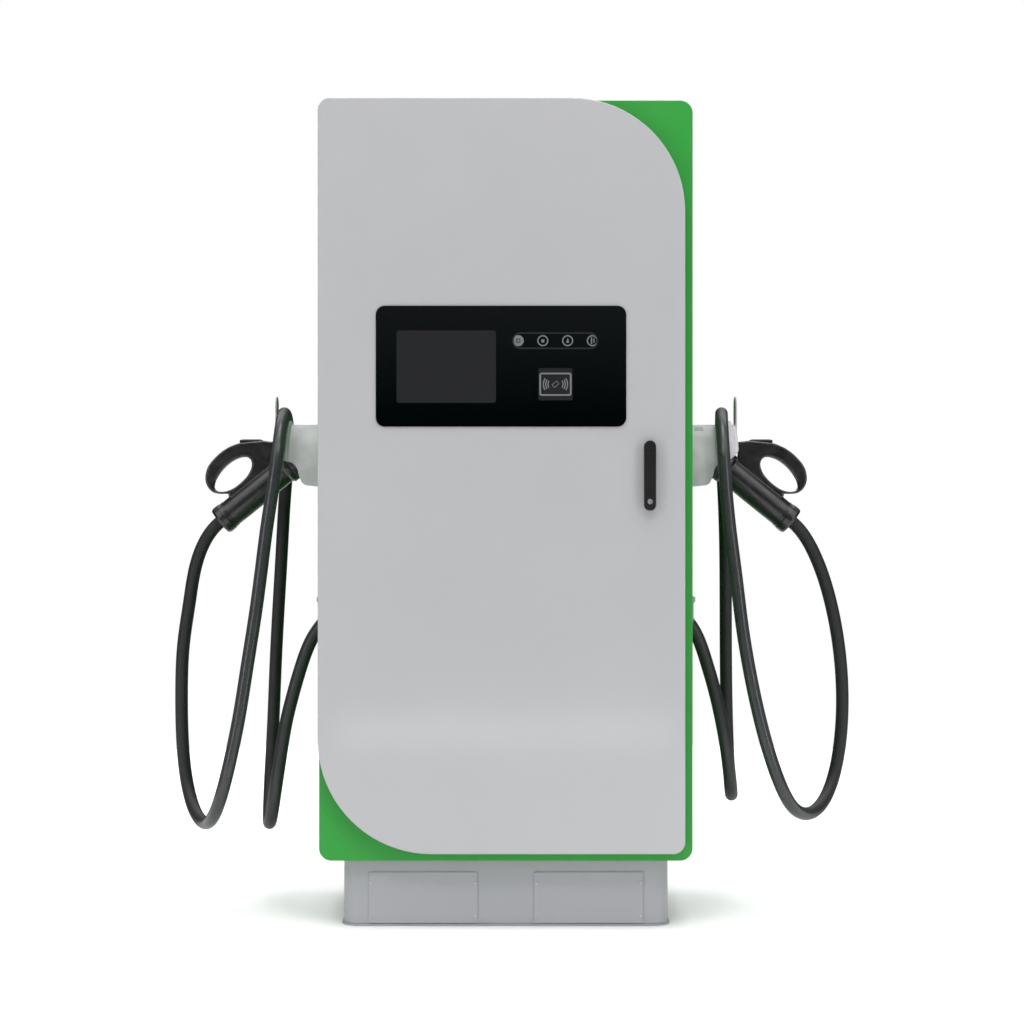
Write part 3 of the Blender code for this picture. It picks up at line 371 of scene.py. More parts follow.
def foam(name, colour):
    n = Nodes(name)
    pores = n.cells(900.0, "Distance")
    n.set(Base_Color=n.blend(n.between(pores, 0.0, 1.0, 0.1, 0.6), shade(colour, 0.5),
                             shade(colour, 1.6)),
          Roughness=n.between(pores, 0.85, 0.95), Normal=n.bump(pores, 0.00012),
          Specular_IOR_Level=0.2)
    return n.material


def circuit_board(name):
    """Solder mask over straight copper tracks."""
    n = Nodes(name)
    upright = n.new("Mapping", Vector=n.place, Rotation=(math.radians(90.0), 0.0, 0.0))
    tracks = n.new("TexBrick", Vector=upright.outputs["Vector"], Scale=260.0, Mortar_Size=0.06,
                   Color1=(0.0, 0.0, 0.0), Color2=(0.35, 0.35, 0.35), Mortar=(1.0, 1.0, 1.0))
    height = n.between(tracks.outputs["Color"], 0.0, 1.0, 0.0, 1.0)
    n.set(Base_Color=n.blend(height, (0.004, 0.075, 0.035), (0.015, 0.16, 0.075)),
          Roughness=n.between(n.noise(80.0, 3.0), 0.30, 0.45), Normal=n.bump(height, 0.00003))
    return n.material


def glow(name, colour, strength):
    """A print or lamp that glows faintly, with a pattern of faint dots; on a print the glow is
    painted light that keeps it readable in the shade.
    """
    n = Nodes(name)
    dots = n.cells(900.0, "Distance")
    n.set(Base_Color=n.blend(n.between(dots, 0.0, 1.0, 0.0, 0.6), colour, shade(colour, 0.85)),
          Roughness=n.between(n.noise(200.0), 0.35, 0.5), Emission_Color=colour,
          Emission_Strength=strength)
    return n.material


DOOR_GREY = powder_coat("door_paint", (0.418, 0.420, 0.433), 0.42, 0.35)
GREEN = powder_coat("shell_paint", (0.026, 0.295, 0.039), 0.42, level=0.35)
PLINTH_GREY = powder_coat("plinth_paint", (0.36, 0.365, 0.385), 0.48)
# Painted tint: the holder grey leans slightly magenta to offset the green light that the shell
# walls bounce onto it.
HOLDER_GREY = moulded_plastic("holder_plastic", (0.450, 0.440, 0.458), 0.5, 0.00003, 0.3)
# The cap's darker grey is painted shade, standing in for the shadowed groove round the cap.
CAP_GREY = moulded_plastic("cap_plastic", (0.27, 0.27, 0.28), 0.5, 0.00003, 0.3)
GUN_BLACK = moulded_plastic("gun_plastic", (0.0030, 0.0032, 0.0034), 0.33, 0.000004, 0.72)
LOCK_BLACK = moulded_plastic("lock_plastic", (0.0115, 0.0115, 0.0122), 0.40, 0.00002, 0.2)
BLACK = moulded_plastic("black_plastic", (0.02, 0.02, 0.021), 0.5, 0.00003, 0.35)
DEVICE_GREY = moulded_plastic("device_plastic", (0.32, 0.33, 0.34), 0.5)
DUCT_GREY = moulded_plastic("duct_plastic", (0.40, 0.41, 0.43), 0.55)
CABLE_BLACK = cable_sheath("cable_rubber", (0.0036, 0.0039, 0.0041))
RUBBER = moulded_plastic("seal_rubber", (0.014, 0.014, 0.0145), 0.7, 0.00005, 0.2)
FOAM = foam("gasket_foam", (0.03, 0.03, 0.032))
# The fascia glass is painted lighter towards the top, as a reflection of the light above.
GLASS = glossy_panel("fascia_glass", (0.0003, 0.0011, 0.0011), 0.10, 0.10,
                     (1.030, 1.236, (0.0050, 0.0062, 0.0062)))
SCREEN = glossy_panel("screen_glass", (0.0185, 0.0190, 0.0200), 0.16, 0.12)
READER_DARK = glossy_panel("reader_print", (0.0165, 0.017, 0.018), 0.25, 0.12)
# The printed symbols glow faintly: painted light that keeps them bright in the shade.
PRINT_LIGHT = glow("print_light", (0.165, 0.180, 0.185), 0.03)
PRINT_MID = glow("print_mid", (0.11, 0.115, 0.12), 0.04)
PRINT_FAINT = glow("print_faint", (0.0050, 0.0055, 0.0058), 0.01)
GALVANISED = galvanised("galvanised_sheet")
ALUMINIUM = brushed_metal("brushed_aluminium", (0.60, 0.61, 0.62), 0.36)
STEEL = brushed_metal("zinc_plated_steel", (0.55, 0.56, 0.57), 0.32, (900.0, 900.0, 40.0))
BRASS = brushed_metal("brass", (0.62, 0.46, 0.18), 0.34)
CIRCUIT = circuit_board("circuit_board")
PLUG_GREEN = moulded_plastic("plug_plastic", (0.03, 0.22, 0.08), 0.45)
LAMP_GREEN = glow("lamp_lens", (0.05, 0.35, 0.09), 0.15)


# ---------------------------------------------------------------- modelling helpers
def solid(name, points, faces):
    """Mesh object from points and faces, with its faces turned outwards."""
    mesh = bpy.data.meshes.new(name)
    mesh.from_pydata([tuple(point) for point in points], [], faces)
    shape = bmesh.new()
    shape.from_mesh(mesh)
    bmesh.ops.recalc_face_normals(shape, faces=shape.faces)
    shape.to_mesh(mesh)
    shape.free()
    return add(name, mesh)


def loft(name, rings, closed=False):
    """Surface through rings of equally many points; closed joins the last ring to the first."""
    count, total = len(rings[0]), len(rings)
    faces = []
    for k in range(total if closed else total - 1):
        low, high = k * count, (k + 1) % total * count
        faces += [(low + i, low + (i + 1) % count, high + (i + 1) % count, high + i)
                  for i in range(count)]
    if not closed:
        faces += [tuple(range(count)), tuple(range((total - 1) * count, total * count))]
    return solid(name, [point for ring in rings for point in ring], faces)


def finished(name, shape):
    """Object from a bmesh, which is used up."""
    mesh = bpy.data.meshes.new(name)
    shape.to_mesh(mesh)
    shape.free()
    return add(name, mesh)


def box(name, low, high, edge=0.0008, segments=2):
    """Box between two corners, each given as x, depth, z, with rounded edges."""
    shape = bmesh.new()
    bmesh.ops.create_cube(shape, size=1.0)
    size = [top - bottom for bottom, top in zip(low, high)]
    centre = [(top + bottom) / 2 for bottom, top in zip(low, high)]
    bmesh.ops.scale(shape, vec=size, verts=shape.verts)
    bmesh.ops.translate(shape, vec=(centre[0], at(centre[1]), centre[2]), verts=shape.verts)
    if edge > 0:
        bmesh.ops.bevel(shape, geom=shape.edges, offset=min(edge, min(size) * 0.45),
                        segments=segments, profile=0.5, affect="EDGES")
    return finished(name, shape)


def arc(centre, radius, start, end, steps=CORNER_STEPS):
    """Points of an arc between two angles in degrees, both ends included."""
    angles = np.radians(np.linspace(start, end, steps + 1))
    return [(centre[0] + radius * math.cos(a), centre[1] + radius * math.sin(a)) for a in angles]


def circle(x, z, radius, steps=40):
    return arc((x, z), radius, 0.0, 360.0, steps)[:-1]


def rounded_rectangle(limits, radii, steps=CORNER_STEPS):
    """Outline with its own radius at bottom left, bottom right, top right and top left."""
    left, right, bottom, top = limits
    if not isinstance(radii, tuple):
        radii = (radii,) * 4
    corners = [(left, bottom, 1, 1, 180), (right, bottom, -1, 1, 270),
               (right, top, -1, -1, 0), (left, top, 1, -1, 90)]
    points = []
    for (x, z, inward_x, inward_z, start), radius in zip(corners, radii):
        centre = (x + inward_x * radius, z + inward_z * radius)
        points += arc(centre, radius, start, start + 90, steps)
    return points


def stadium(x_low, x_high, z_low, z_high, steps=16):
    """Slot with round ends along its longer side."""
    return rounded_rectangle((x_low, x_high, z_low, z_high),
                             min(x_high - x_low, z_high - z_low) / 2 - 1e-6, steps)


def inset_rectangle(limits, radii, inset, steps=CORNER_STEPS):
    left, right, bottom, top = limits
    return rounded_rectangle((left + inset, right - inset, bottom + inset, top - inset),
                             tuple(max(radius - inset, 0.0005) for radius in radii), steps)


PLANES = {                                      # from an outline's plane to the world
    "X": Matrix(((0, 0, 1, 0), (1, 0, 0, 0), (0, 1, 0, 0), (0, 0, 0, 1))),
    "Y": Matrix(((1, 0, 0, 0), (0, 0, -1, 0), (0, 1, 0, 0), (0, 0, 0, 1))),
    "Z": Matrix.Identity(4),
}


def new_curve(name, dimensions, bevel, rounds, lines, cyclic=False):
    """Curve data through lines of points, each of two or three numbers."""
    curve = bpy.data.curves.new(name, "CURVE")
    curve.dimensions = dimensions
    curve.bevel_depth = bevel
    curve.bevel_resolution = rounds
    for line in lines:
        spline = curve.splines.new("POLY")
        spline.points.add(len(line) - 1)
        for point, place in zip(spline.points, line):
            point.co = (*place, *(0.0,) * (3 - len(place)), 1.0)
        spline.use_cyclic_u = cyclic
    return curve


def curve_shape(curve):
    """A curve's mesh as a bmesh, its coincident points merged."""
    piece = add(curve.name, curve)
    evaluated = piece.evaluated_get(bpy.context.evaluated_depsgraph_get())
    mesh = bpy.data.meshes.new_from_object(evaluated)
    bpy.data.objects.remove(piece, do_unlink=True)
    shape = bmesh.new()
    shape.from_mesh(mesh)
    bmesh.ops.remove_doubles(shape, verts=shape.verts, dist=0.000001)
    return shape


def plate(name, loops, low, high, axis="Y", edge=0.0006, rounds=2):
    """Flat outline with any holes, between two coordinates along an axis, its edges rounded."""
    outline = new_curve(name, "2D", edge, rounds, loops, cyclic=True)
    outline.fill_mode = "BOTH"
    outline.extrude = (high - low) / 2 - edge
    outline.offset = -edge
    shape = curve_shape(outline)
    bmesh.ops.transform(shape, matrix=PLANES[axis], verts=shape.verts)
    shift = Vector((0.0, 0.0, 0.0))
    shift["XYZ".index(axis)] = (low + high) / 2
    bmesh.ops.translate(shape, vec=shift, verts=shape.verts)
    return finished(name, shape)


def depth_plate(name, loops, depth_low, depth_high, edge=0.0006, rounds=2):
    """Outline in x and z, between two depths."""
    return plate(name, loops, at(depth_low), at(depth_high), "Y", edge, rounds)


def turned(name, profile, start, direction, segments=48):
    """Solid turned about an axis through start: its profile is radius and distance along it."""
    along = Vector(direction).normalized()
    turn = along.to_track_quat("Z", "Y").to_matrix()
    rings = []
    for radius, distance in profile:
        rings.append([Vector(start) + turn @ Vector((radius * math.cos(a), radius * math.sin(a),
                                                     distance))
                      for a in np.linspace(0.0, math.tau, segments, endpoint=False)])
    return loft(name, rings)


def tube(name, points, radius, sides=8):
    """Round wire or bead through points, with filled ends, as a mesh."""
    wire = new_curve(name, "3D", radius, max(0, (sides - 4) // 2), [points])
    wire.use_fill_caps = True
    return finished(name, curve_shape(wire))


def joined(name, pieces):
    """One object out of several, each left where it is."""
    shape = bmesh.new()
    for piece in pieces:
        shape.from_mesh(piece.data)
        bpy.data.objects.remove(piece, do_unlink=True)
    return finished(name, shape)


def applied(piece):
    """Replace a piece's mesh by what its modifiers make of it."""
    evaluated = piece.evaluated_get(bpy.context.evaluated_depsgraph_get())
    mesh = bpy.data.meshes.new_from_object(evaluated)
    piece.modifiers.clear()
    piece.data = mesh
    return piece


def combine(piece, operation, *tools):
    """Boolean with each tool in turn; the tools are used up."""
    for tool in tools:
        step = piece.modifiers.new(tool.name, "BOOLEAN")
        step.operation = operation
        step.object = tool
    applied(piece)
    for tool in tools:
        bpy.data.objects.remove(tool, do_unlink=True)
    return piece


def cut(piece, *tools):
    return combine(piece, "DIFFERENCE", *tools)


def fuse(piece, *tools):
    return combine(piece, "UNION", *tools)


def softened(piece, voxel, rounds=5):
    """Remesh a piece finely and ease its edges, as a moulded part's are."""
    step = piece.modifiers.new("remesh", "REMESH")
    step.mode = "VOXEL"
    step.voxel_size = voxel
    ease = piece.modifiers.new("ease", "SMOOTH")
    ease.factor = 0.5
    ease.iterations = rounds
    return applied(piece)


def half_turn(name, piece, depth):
    """Copy of a right-hand piece, turned half round about the vertical line at x 0 and a depth."""
    mesh = piece.data.copy()
    centre = Vector((0.0, at(depth), 0.0))
    mesh.transform(Matrix.Translation(centre) @ Matrix.Rotation(math.pi, 4, "Z")
                   @ Matrix.Translation(-centre))
    return add(name, mesh)


def dress(piece, surface, replaced=(), body="root", angle=35.0):
    """Finish a piece: material, smooth shading with crisp edges, body and the CAD nodes it
    replaces.
    """
    piece.data.materials.clear()
    piece.data.materials.append(surface)
    piece.data.shade_smooth()
    piece.data.set_sharp_from_angle(angle=math.radians(angle))
    level = piece.modifiers.new("weighted_normals", "WEIGHTED_NORMAL")
    level.keep_sharp = True
    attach(piece, body)
    if replaced:
        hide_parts(*replaced)
    return piece


def assembly(name, pieces, surface, replaced=(), body="root", angle=35.0):
    """Several pieces joined into one and finished."""
    return dress(joined(name, pieces), surface, replaced, body, angle)


def screw_head(place, direction, radius=0.004):
    """Pan head with a hexagon socket, standing on place."""
    height = radius * 0.62
    rise = [(radius * math.cos(a), height * (0.25 + 0.75 * math.sin(a)))
            for a in np.linspace(0.0, math.radians(72.0), 6)]
    head = [(radius, -0.0006)] + rise + [(radius * 0.50, height * 0.97),
                                         (radius * 0.46, height * 0.35)]
    return turned("screw", head, place, direction, 24)


def screws(name, places, direction, radius=0.004, body="root", surface=STEEL):
    """A group of equal screws as one piece; places are x, depth, z."""
    heads = [screw_head((x, at(depth), z), direction, radius) for x, depth, z in places]
    return assembly(name, heads, surface, (), body)


FORWARD, REARWARD = (0.0, -1.0, 0.0), (0.0, 1.0, 0.0)
RIGHTWARD, UPWARD = (1.0, 0.0, 0.0), (0.0, 0.0, 1.0)


# ---------------------------------------------------------------- cables
def smooth_route(points, start, end, step):
    """Evenly spaced points on the cubic spline through a route, with its end directions."""
    knots = np.array(points)
    spans = np.linalg.norm(np.diff(knots, axis=0), axis=1)
    count = len(knots)
    matrix = np.zeros((count, count))
    target = np.zeros((count, 3))
    matrix[0, 0] = matrix[-1, -1] = 1.0
    target[0], target[-1] = start, end
    for k in range(1, count - 1):
        before, after = spans[k - 1], spans[k]
        matrix[k, k - 1:k + 2] = after, 2 * (before + after), before
        target[k] = 3 * (after / before * (knots[k] - knots[k - 1])
                         + before / after * (knots[k + 1] - knots[k]))
    slopes = np.linalg.solve(matrix, target)
    fine = [knots[0]]
    for k, span in enumerate(spans):
        for t in np.linspace(0.0, 1.0, 25)[1:]:
            fine.append((2 * t**3 - 3 * t**2 + 1) * knots[k]
                        + (t**3 - 2 * t**2 + t) * span * slopes[k]
                        + (3 * t**2 - 2 * t**3) * knots[k + 1]
                        + (t**3 - t**2) * span * slopes[k + 1])
    fine = np.array(fine)
    lengths = np.concatenate(([0.0], np.cumsum(np.linalg.norm(np.diff(fine, axis=0), axis=1))))
    places = np.linspace(0.0, lengths[-1], round(lengths[-1] / step) + 1)
    return np.column_stack([np.interp(places, lengths, fine[:, axis]) for axis in range(3)])


def make_cable(side, sign):
    """The charging cable as a curve, from the exit in the side wall to the gun's tail."""
    route = [(x, at(depth), z) for x, depth, z in CABLE_ROUTES[side]]
    start = (sign * math.sin(EXIT_TILT), 0.0, -math.cos(EXIT_TILT))
    end = (-sign * math.cos(GUN_TILT), 0.0, math.sin(GUN_TILT))
    places = smooth_route(route, start, end, 0.008)
    inside = np.arange(1, 8)[:, None] * CABLE_IN_GUN / 7 * np.array(end)
    curve = new_curve(f"charging_cable_{side}", "3D", CABLE_DIAMETER / 2, 8,
                      [np.vstack([places, places[-1] + inside])])
    curve.use_fill_caps = True
    curve.splines[0].use_smooth = True
    curve.materials.append(CABLE_BLACK)
    cable = add(f"charging_cable_{side}", curve)
    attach(cable, "root")
    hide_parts(f"cable_{side}")
    return cable, route[0]


# ---------------------------------------------------------------- cabinet shell
def door_outline(inset):
    """The door's outline, moved inwards by the inset."""
    sharp, sweep = max(DOOR_CORNER - inset, 0.006), DOOR_SWEEP - inset
    left, right, bottom, top = DOOR
    return rounded_rectangle((left + inset, right - inset, bottom + inset, top - inset),
                             (sweep, sharp, sweep, sharp))


def shell_outline(inset):
    return inset_rectangle(SHELL, (SHELL_CORNER,) * 4, inset)


def depth_ring(outline, depth):
    return [(x, at(depth), z) for x, z in outline]


def fillet(outline, radius, depth, forward, steps=5):
    """Rings that round an edge: from the side wall over to the face at a depth."""
    rings = []
    for k in range(steps + 1):
        angle = math.pi / 2 * k / steps
        inset = radius * (1 - math.cos(angle))
        rings.append(depth_ring(outline(inset), depth + forward * radius * (1 - math.sin(angle))))
    return rings


def make_shell():
    rear_opening = rounded_rectangle((-0.318, 0.318, 0.178, 1.618), 0.010)
    edge = 0.0022
    rings = [depth_ring(door_outline(OPENING_INSET), UPSTAND_REACH),
             depth_ring(door_outline(OPENING_INSET - 0.002), UPSTAND_REACH),
             depth_ring(door_outline(OPENING_INSET - 0.002), 0.0)]
    rings += fillet(shell_outline, edge, 0.0, 1)[::-1]
    rings += fillet(shell_outline, edge, SHELL_DEPTH, -1)
    rings += [depth_ring(rear_opening, SHELL_DEPTH), depth_ring(rear_opening, SHELL_DEPTH - SHEET),
              depth_ring(shell_outline(SHEET), SHELL_DEPTH - SHEET),
              depth_ring(shell_outline(SHEET), SHEET),
              depth_ring(door_outline(OPENING_INSET), SHEET)]
    shell = loft("cabinet_body", rings, closed=True)
    tools = [box("floor_opening", (-0.135, 0.070, 0.125), (0.135, 0.250, 0.145), 0.0)]
    for sign in (-1, 1):
        x = sign * SHELL[1]
        tools.append(box("cable_opening", (x - 0.01, EXIT_DEPTH - 0.019, 0.587),
                         (x + 0.01, EXIT_DEPTH + 0.019, 0.655), 0.0))
    dress(cut(shell, *tools), GREEN, ["cabinet_shell"])


def plinth_outline(inset):
    limits = (-0.329, 0.329, at(0.030), at(0.450))
    return inset_rectangle(limits, (0.032,) * 4, inset, 12)


def make_plinth():
    top, sheet = SHELL[2] - GAP, 0.003

    def level(inset, z):
        return [(x, y, z) for x, y in plinth_outline(inset)]

    rings = [level(0.060, 0.0), level(-0.0036, 0.0), level(-0.004, 0.0004), level(-0.004, 0.0024),
             level(-0.0032, sheet), level(0.0012, sheet), level(0.0003, sheet + 0.0005),
             level(0.0, sheet + 0.0016), level(0.0, top - 0.002), level(0.0006, top - 0.0006),
             level(0.002, top), level(0.050, top), level(0.050, top - sheet),
             level(sheet, top - sheet), level(sheet, sheet), level(0.060, sheet)]
    plinth = loft("plinth_body", rings, closed=True)
    tools = []
    for sign in (-1, 1):
        low, high = sorted((sign * 0.067, sign * 0.267))
        tools.append(depth_plate("fork_pocket",
                                 [rounded_rectangle((low, high, 0.015, 0.095), 0.006)], 0.0,
                                 SHELL_DEPTH, 0.0))
        for depth in (0.072, 0.408):
            tools.append(turned("anchor_hole", [(0.007, 0.0), (0.007, 0.02)],
                                (sign * 0.270, at(depth), -0.01), UPWARD, 32))
    dress(cut(plinth, *tools), PLINTH_GREY, ["plinth_frame"])
    cover_sheet = 0.002
    for face, outer, inwards, direction in (("front", 0.0277, 1, FORWARD),
                                            ("rear", 0.4523, -1, REARWARD)):
        for side, sign in SIDES:
            low, high = sorted((sign * 0.057, sign * 0.277))
            cover = depth_plate(f"pocket_cover_{face}_{side}",
                                [rounded_rectangle((low, high, 0.005, 0.108), 0.003, 6)],
                                *sorted((outer, outer + inwards * cover_sheet)), 0.0005)
            dress(cover, PLINTH_GREY, [f"fork_cover_{face}_{side}"])
            places = [(sign * x, outer, z) for x in (0.062, 0.272) for z in (0.019, 0.086)]
            screws(f"cover_screws_{face}_{side}", places, direction, 0.0027)


# ---------------------------------------------------------------- door
def make_door():
    edge = 0.0024
    window = rounded_rectangle(WINDOW, 0.006)
    inside = DOOR_FRONT + DOOR_SHEET
    rings = [depth_ring(door_outline(0.0), DOOR_REAR)]
    rings += fillet(door_outline, edge, DOOR_FRONT, 1)
    rings += [depth_ring(window, DOOR_FRONT), depth_ring(window, inside),
              depth_ring(door_outline(DOOR_SHEET), inside),
              depth_ring(door_outline(DOOR_SHEET), DOOR_REAR)]
    door = loft("door_panel", rings, closed=True)
    hole = turned("spindle_hole", [(0.007, 0.0), (0.007, 0.03)],
                  (HANDLE_X, at(DOOR_FRONT - 0.01), SPINDLE_Z), REARWARD, 32)
    dress(cut(door, hole), DOOR_GREY, ["front_door"], "door")

    low, high = inside + GAP, UPSTAND_REACH - GAP
    middle, half = 0.036, 0.005
    section = [(middle + half, low), (middle + half * 0.9, (low + high) / 2)]
    section += [(middle + half * 0.82 * math.cos(a), high - 0.003 + 0.003 * math.sin(a))
                for a in np.linspace(0.2, math.pi - 0.2, 7)]
    section += [(middle - half * 0.9, (low + high) / 2), (middle - half, low)]
    gasket = loft("foam_gasket", [depth_ring(door_outline(inset), depth)
                                  for inset, depth in section], closed=True)
    dress(gasket, FOAM, ["door_gasket"], "door", angle=60.0)


def icon(name, loops, front, surface, height=0.00018):
    """Print or inlay standing a hair proud of the fascia."""
    return dress(depth_plate(name, loops, front - height, front + 0.0001, 0.00004, 0), surface,
                 body="door")


def around(x, z, left, right, down, up, radius, steps=4):
    """Rounded rectangle that reaches so far from a point to each side."""
    return rounded_rectangle((x - left, x + right, z - down, z + up), radius, steps)


def ring_loops(x, z, outer, inner):
    return [circle(x, z, outer, 48), circle(x, z, inner, 48)]


def make_fascia():
    front = DOOR_FRONT - GAP - 0.0025
    glass = depth_plate("fascia_panel", [rounded_rectangle(FASCIA, 0.018)], front,
                        DOOR_FRONT - GAP, 0.0007, 3)
    dress(glass, GLASS, ["display_fascia"], "door")
    icon("screen_area", [rounded_rectangle((-0.2175, -0.0195, 1.0525, 1.1965), 0.006)], front,
         SCREEN, 0.0001)
    make_indicators(front)
    make_reader_field(front)


def make_indicators(front):
    """A row of four round symbols, for power, vehicle, charging and alarm, in a long frame."""
    strip, corner, line = (0.0125, 0.1845, 1.1592, 1.1930), 0.0168, 0.0032
    icon("indicator_outline", [rounded_rectangle(strip, corner, 16),
                               inset_rectangle(strip, (corner,) * 4, line, 16)], front,
         PRINT_FAINT)
    z, outer, inner = 1.1762, 0.0110, 0.0086
    power, vehicle, charging, alarm = 0.0248, 0.0738, 0.1232, 0.1724
    icon("lamp_power", [circle(power, z, outer, 48),
                        around(power, z, 0.0042, 0.0042, 0.0040, 0.0040, 0.0008),
                        around(power, z, 0.0026, 0.0026, 0.0024, 0.0024, 0.0005)], front,
         PRINT_LIGHT)
    drop = arc((charging, z - 0.0016), 0.0030, 200, 340, 12) + [(charging + 0.0004, z + 0.0056)]
    marks = {"vehicle": (vehicle, [around(vehicle, z, 0.0030, 0.0030, 0.0036, 0.0026, 0.001)]),
             "charging": (charging, [drop]),
             "alarm": (alarm, [around(alarm, z, 0.0030, -0.0004, 0.0066, 0.0066, 0.0006),
                               around(alarm, z, -0.0022, 0.0042, 0.0042, 0.0048, 0.0006)])}
    for name, (x, loops) in marks.items():
        icon(f"lamp_{name}", ring_loops(x, z, outer, inner) + loops, front, PRINT_LIGHT)


def make_reader_field(front):
    """The card reader's printed field: a frame, waves to both sides and a small card."""
    icon("reader_backing", [rounded_rectangle((0.0650, 0.1330, 1.0575, 1.1215), 0.003, 6)], front,
         READER_DARK, 0.0001)
    face = front - 0.0001
    outline, corner, line = (0.0670, 0.1310, 1.0664, 1.1124), 0.005, 0.0032
    icon("reader_frame", [rounded_rectangle(outline, corner, 10),
                          inset_rectangle(outline, (corner,) * 4, line, 10)], face, PRINT_LIGHT)
    x, z = 0.0990, 1.0894
    spread, half_line = 34.0, 0.0011
    for side, sign in SIDES:
        centre = (x + sign * 0.003, z)
        start, end = (0.0 if sign > 0 else 180.0) - spread, (0.0 if sign > 0 else 180.0) + spread
        for k, radius in enumerate((0.0120, 0.0165, 0.0210)):
            wave = (arc(centre, radius + half_line, start, end, 16)
                    + arc(centre, radius - half_line, end, start, 16))
            icon(f"reader_wave_{side}_{k + 1}", [wave], face, PRINT_LIGHT)
    card = np.array(around(0.0, 0.0, 0.0068, 0.0068, 0.0044, 0.0044, 0.0012, 6))
    hole = np.array(around(0.0, 0.0, 0.0052, 0.0052, 0.0028, 0.0028, 0.0006, 6))
    turn = math.radians(38.0)
    spin = np.array([[math.cos(turn), math.sin(turn)], [-math.sin(turn), math.cos(turn)]])
    icon("reader_card", [[(x + a, z + b) for a, b in loop @ spin] for loop in (card, hole)], face,
         PRINT_MID)


def make_handle():
    escutcheon_front = DOOR_FRONT - 0.0033
    rear = escutcheon_front - 0.0004
    front = rear - 0.014
    half = HANDLE_WIDTH / 2
    whole = stadium(HANDLE_X - half, HANDLE_X + half, HANDLE_BOTTOM, HANDLE_TOP, 20)
    base = depth_plate("handle_base", [whole, circle(HANDLE_X, SPINDLE_Z, 0.007)],
                       escutcheon_front, DOOR_FRONT - GAP, 0.0008)
    dress(base, LOCK_BLACK, ["lock_escutcheon"], "door")

    head = arc((HANDLE_X, HANDLE_TOP - half), half, 0, 180, 32)
    head += [(HANDLE_X - half, HANDLE_SPLIT + 0.0005), (HANDLE_X, HANDLE_APEX + 0.0005),
             (HANDLE_X + half, HANDLE_SPLIT + 0.0005)]
    boss = depth_plate("handle_boss", [head], front, rear, 0.0012, 4)
    shaft = turned("handle_shaft", [(0.006, 0.0), (0.006, 0.0127), (0.0195, 0.0127),
                                    (0.020, 0.0132), (0.020, 0.0162), (0.0195, 0.0167),
                                    (0.004, 0.0167)], (HANDLE_X, at(rear + GAP), SPINDLE_Z),
                   REARWARD, 40)
    assembly("handle_boss_and_cam", [boss, shaft], LOCK_BLACK, ["handle_spindle"], "handle")

    grip = arc((HANDLE_X, HANDLE_BOTTOM + half), half, 180, 360, 32)
    grip += [(HANDLE_X + half, HANDLE_SPLIT), (HANDLE_X, HANDLE_APEX),
             (HANDLE_X - half, HANDLE_SPLIT)]
    lever = depth_plate("swing_lever", [grip], front, rear, 0.0014, 4)
    pocket = turned("cylinder_pocket", [(0.0062, 0.0), (0.0053, 0.0006), (0.0053, 0.03)],
                    (HANDLE_X, at(front - 0.0004), CYLINDER_Z), REARWARD, 40)
    dress(cut(lever, pocket), LOCK_BLACK, ["lock_lever"], "lever")

    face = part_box("lock_cylinder")[0].y
    barrel = turned("key_cylinder", [(0.0050, 0.0125), (0.0050, 0.0005), (0.0045, 0.0),
                                     (0.0016, 0.0), (0.0014, 0.0002)],
                    (HANDLE_X, face, CYLINDER_Z), REARWARD, 40)
    slot = box("key_slot", (HANDLE_X - 0.0004, face - at(0.0) - 0.001, CYLINDER_Z - 0.0030),
               (HANDLE_X + 0.0004, face - at(0.0) + 0.003, CYLINDER_Z + 0.0030), 0.0)
    dress(cut(barrel, slot), STEEL, ["lock_cylinder"], "cylinder")


# ---------------------------------------------------------------- holders and guns
GUN_AXIS = Vector((math.cos(GUN_TILT), 0.0, -math.sin(GUN_TILT)))
GUN_NORMAL = Vector((math.sin(GUN_TILT), 0.0, math.cos(GUN_TILT)))


def gun_point(along, up):
    """World place, on the right-hand side, of a point given along and above the gun's axis."""
    return GUN_NOSE + GUN_AXIS * along + GUN_NORMAL * up + Vector((0.0, at(HOLDER_DEPTH), 0.0))


def both_sides(name, piece, surface, nodes=(), body="root", depth=HOLDER_DEPTH, angle=35.0):
    """Dress a right-hand piece and its left-hand copy; nodes are named without their side."""
    copy = half_turn(f"{name}_left", piece, depth)
    piece.name = f"{name}_right"
    for side, half in (("right", piece), ("left", copy)):
        dress(half, surface, [f"{node}_{side}" for node in nodes], body.replace("SIDE", side),
              angle)
    return {"right": piece, "left": copy}


def saddle(radius, floor):
    centre = (at(HOLDER_DEPTH), SADDLE_TOP - SADDLE_RADIUS)
    return arc(centre, radius, 0, 180, 64) + [(centre[0] - radius, floor),
                                              (centre[0] + radius, floor)]


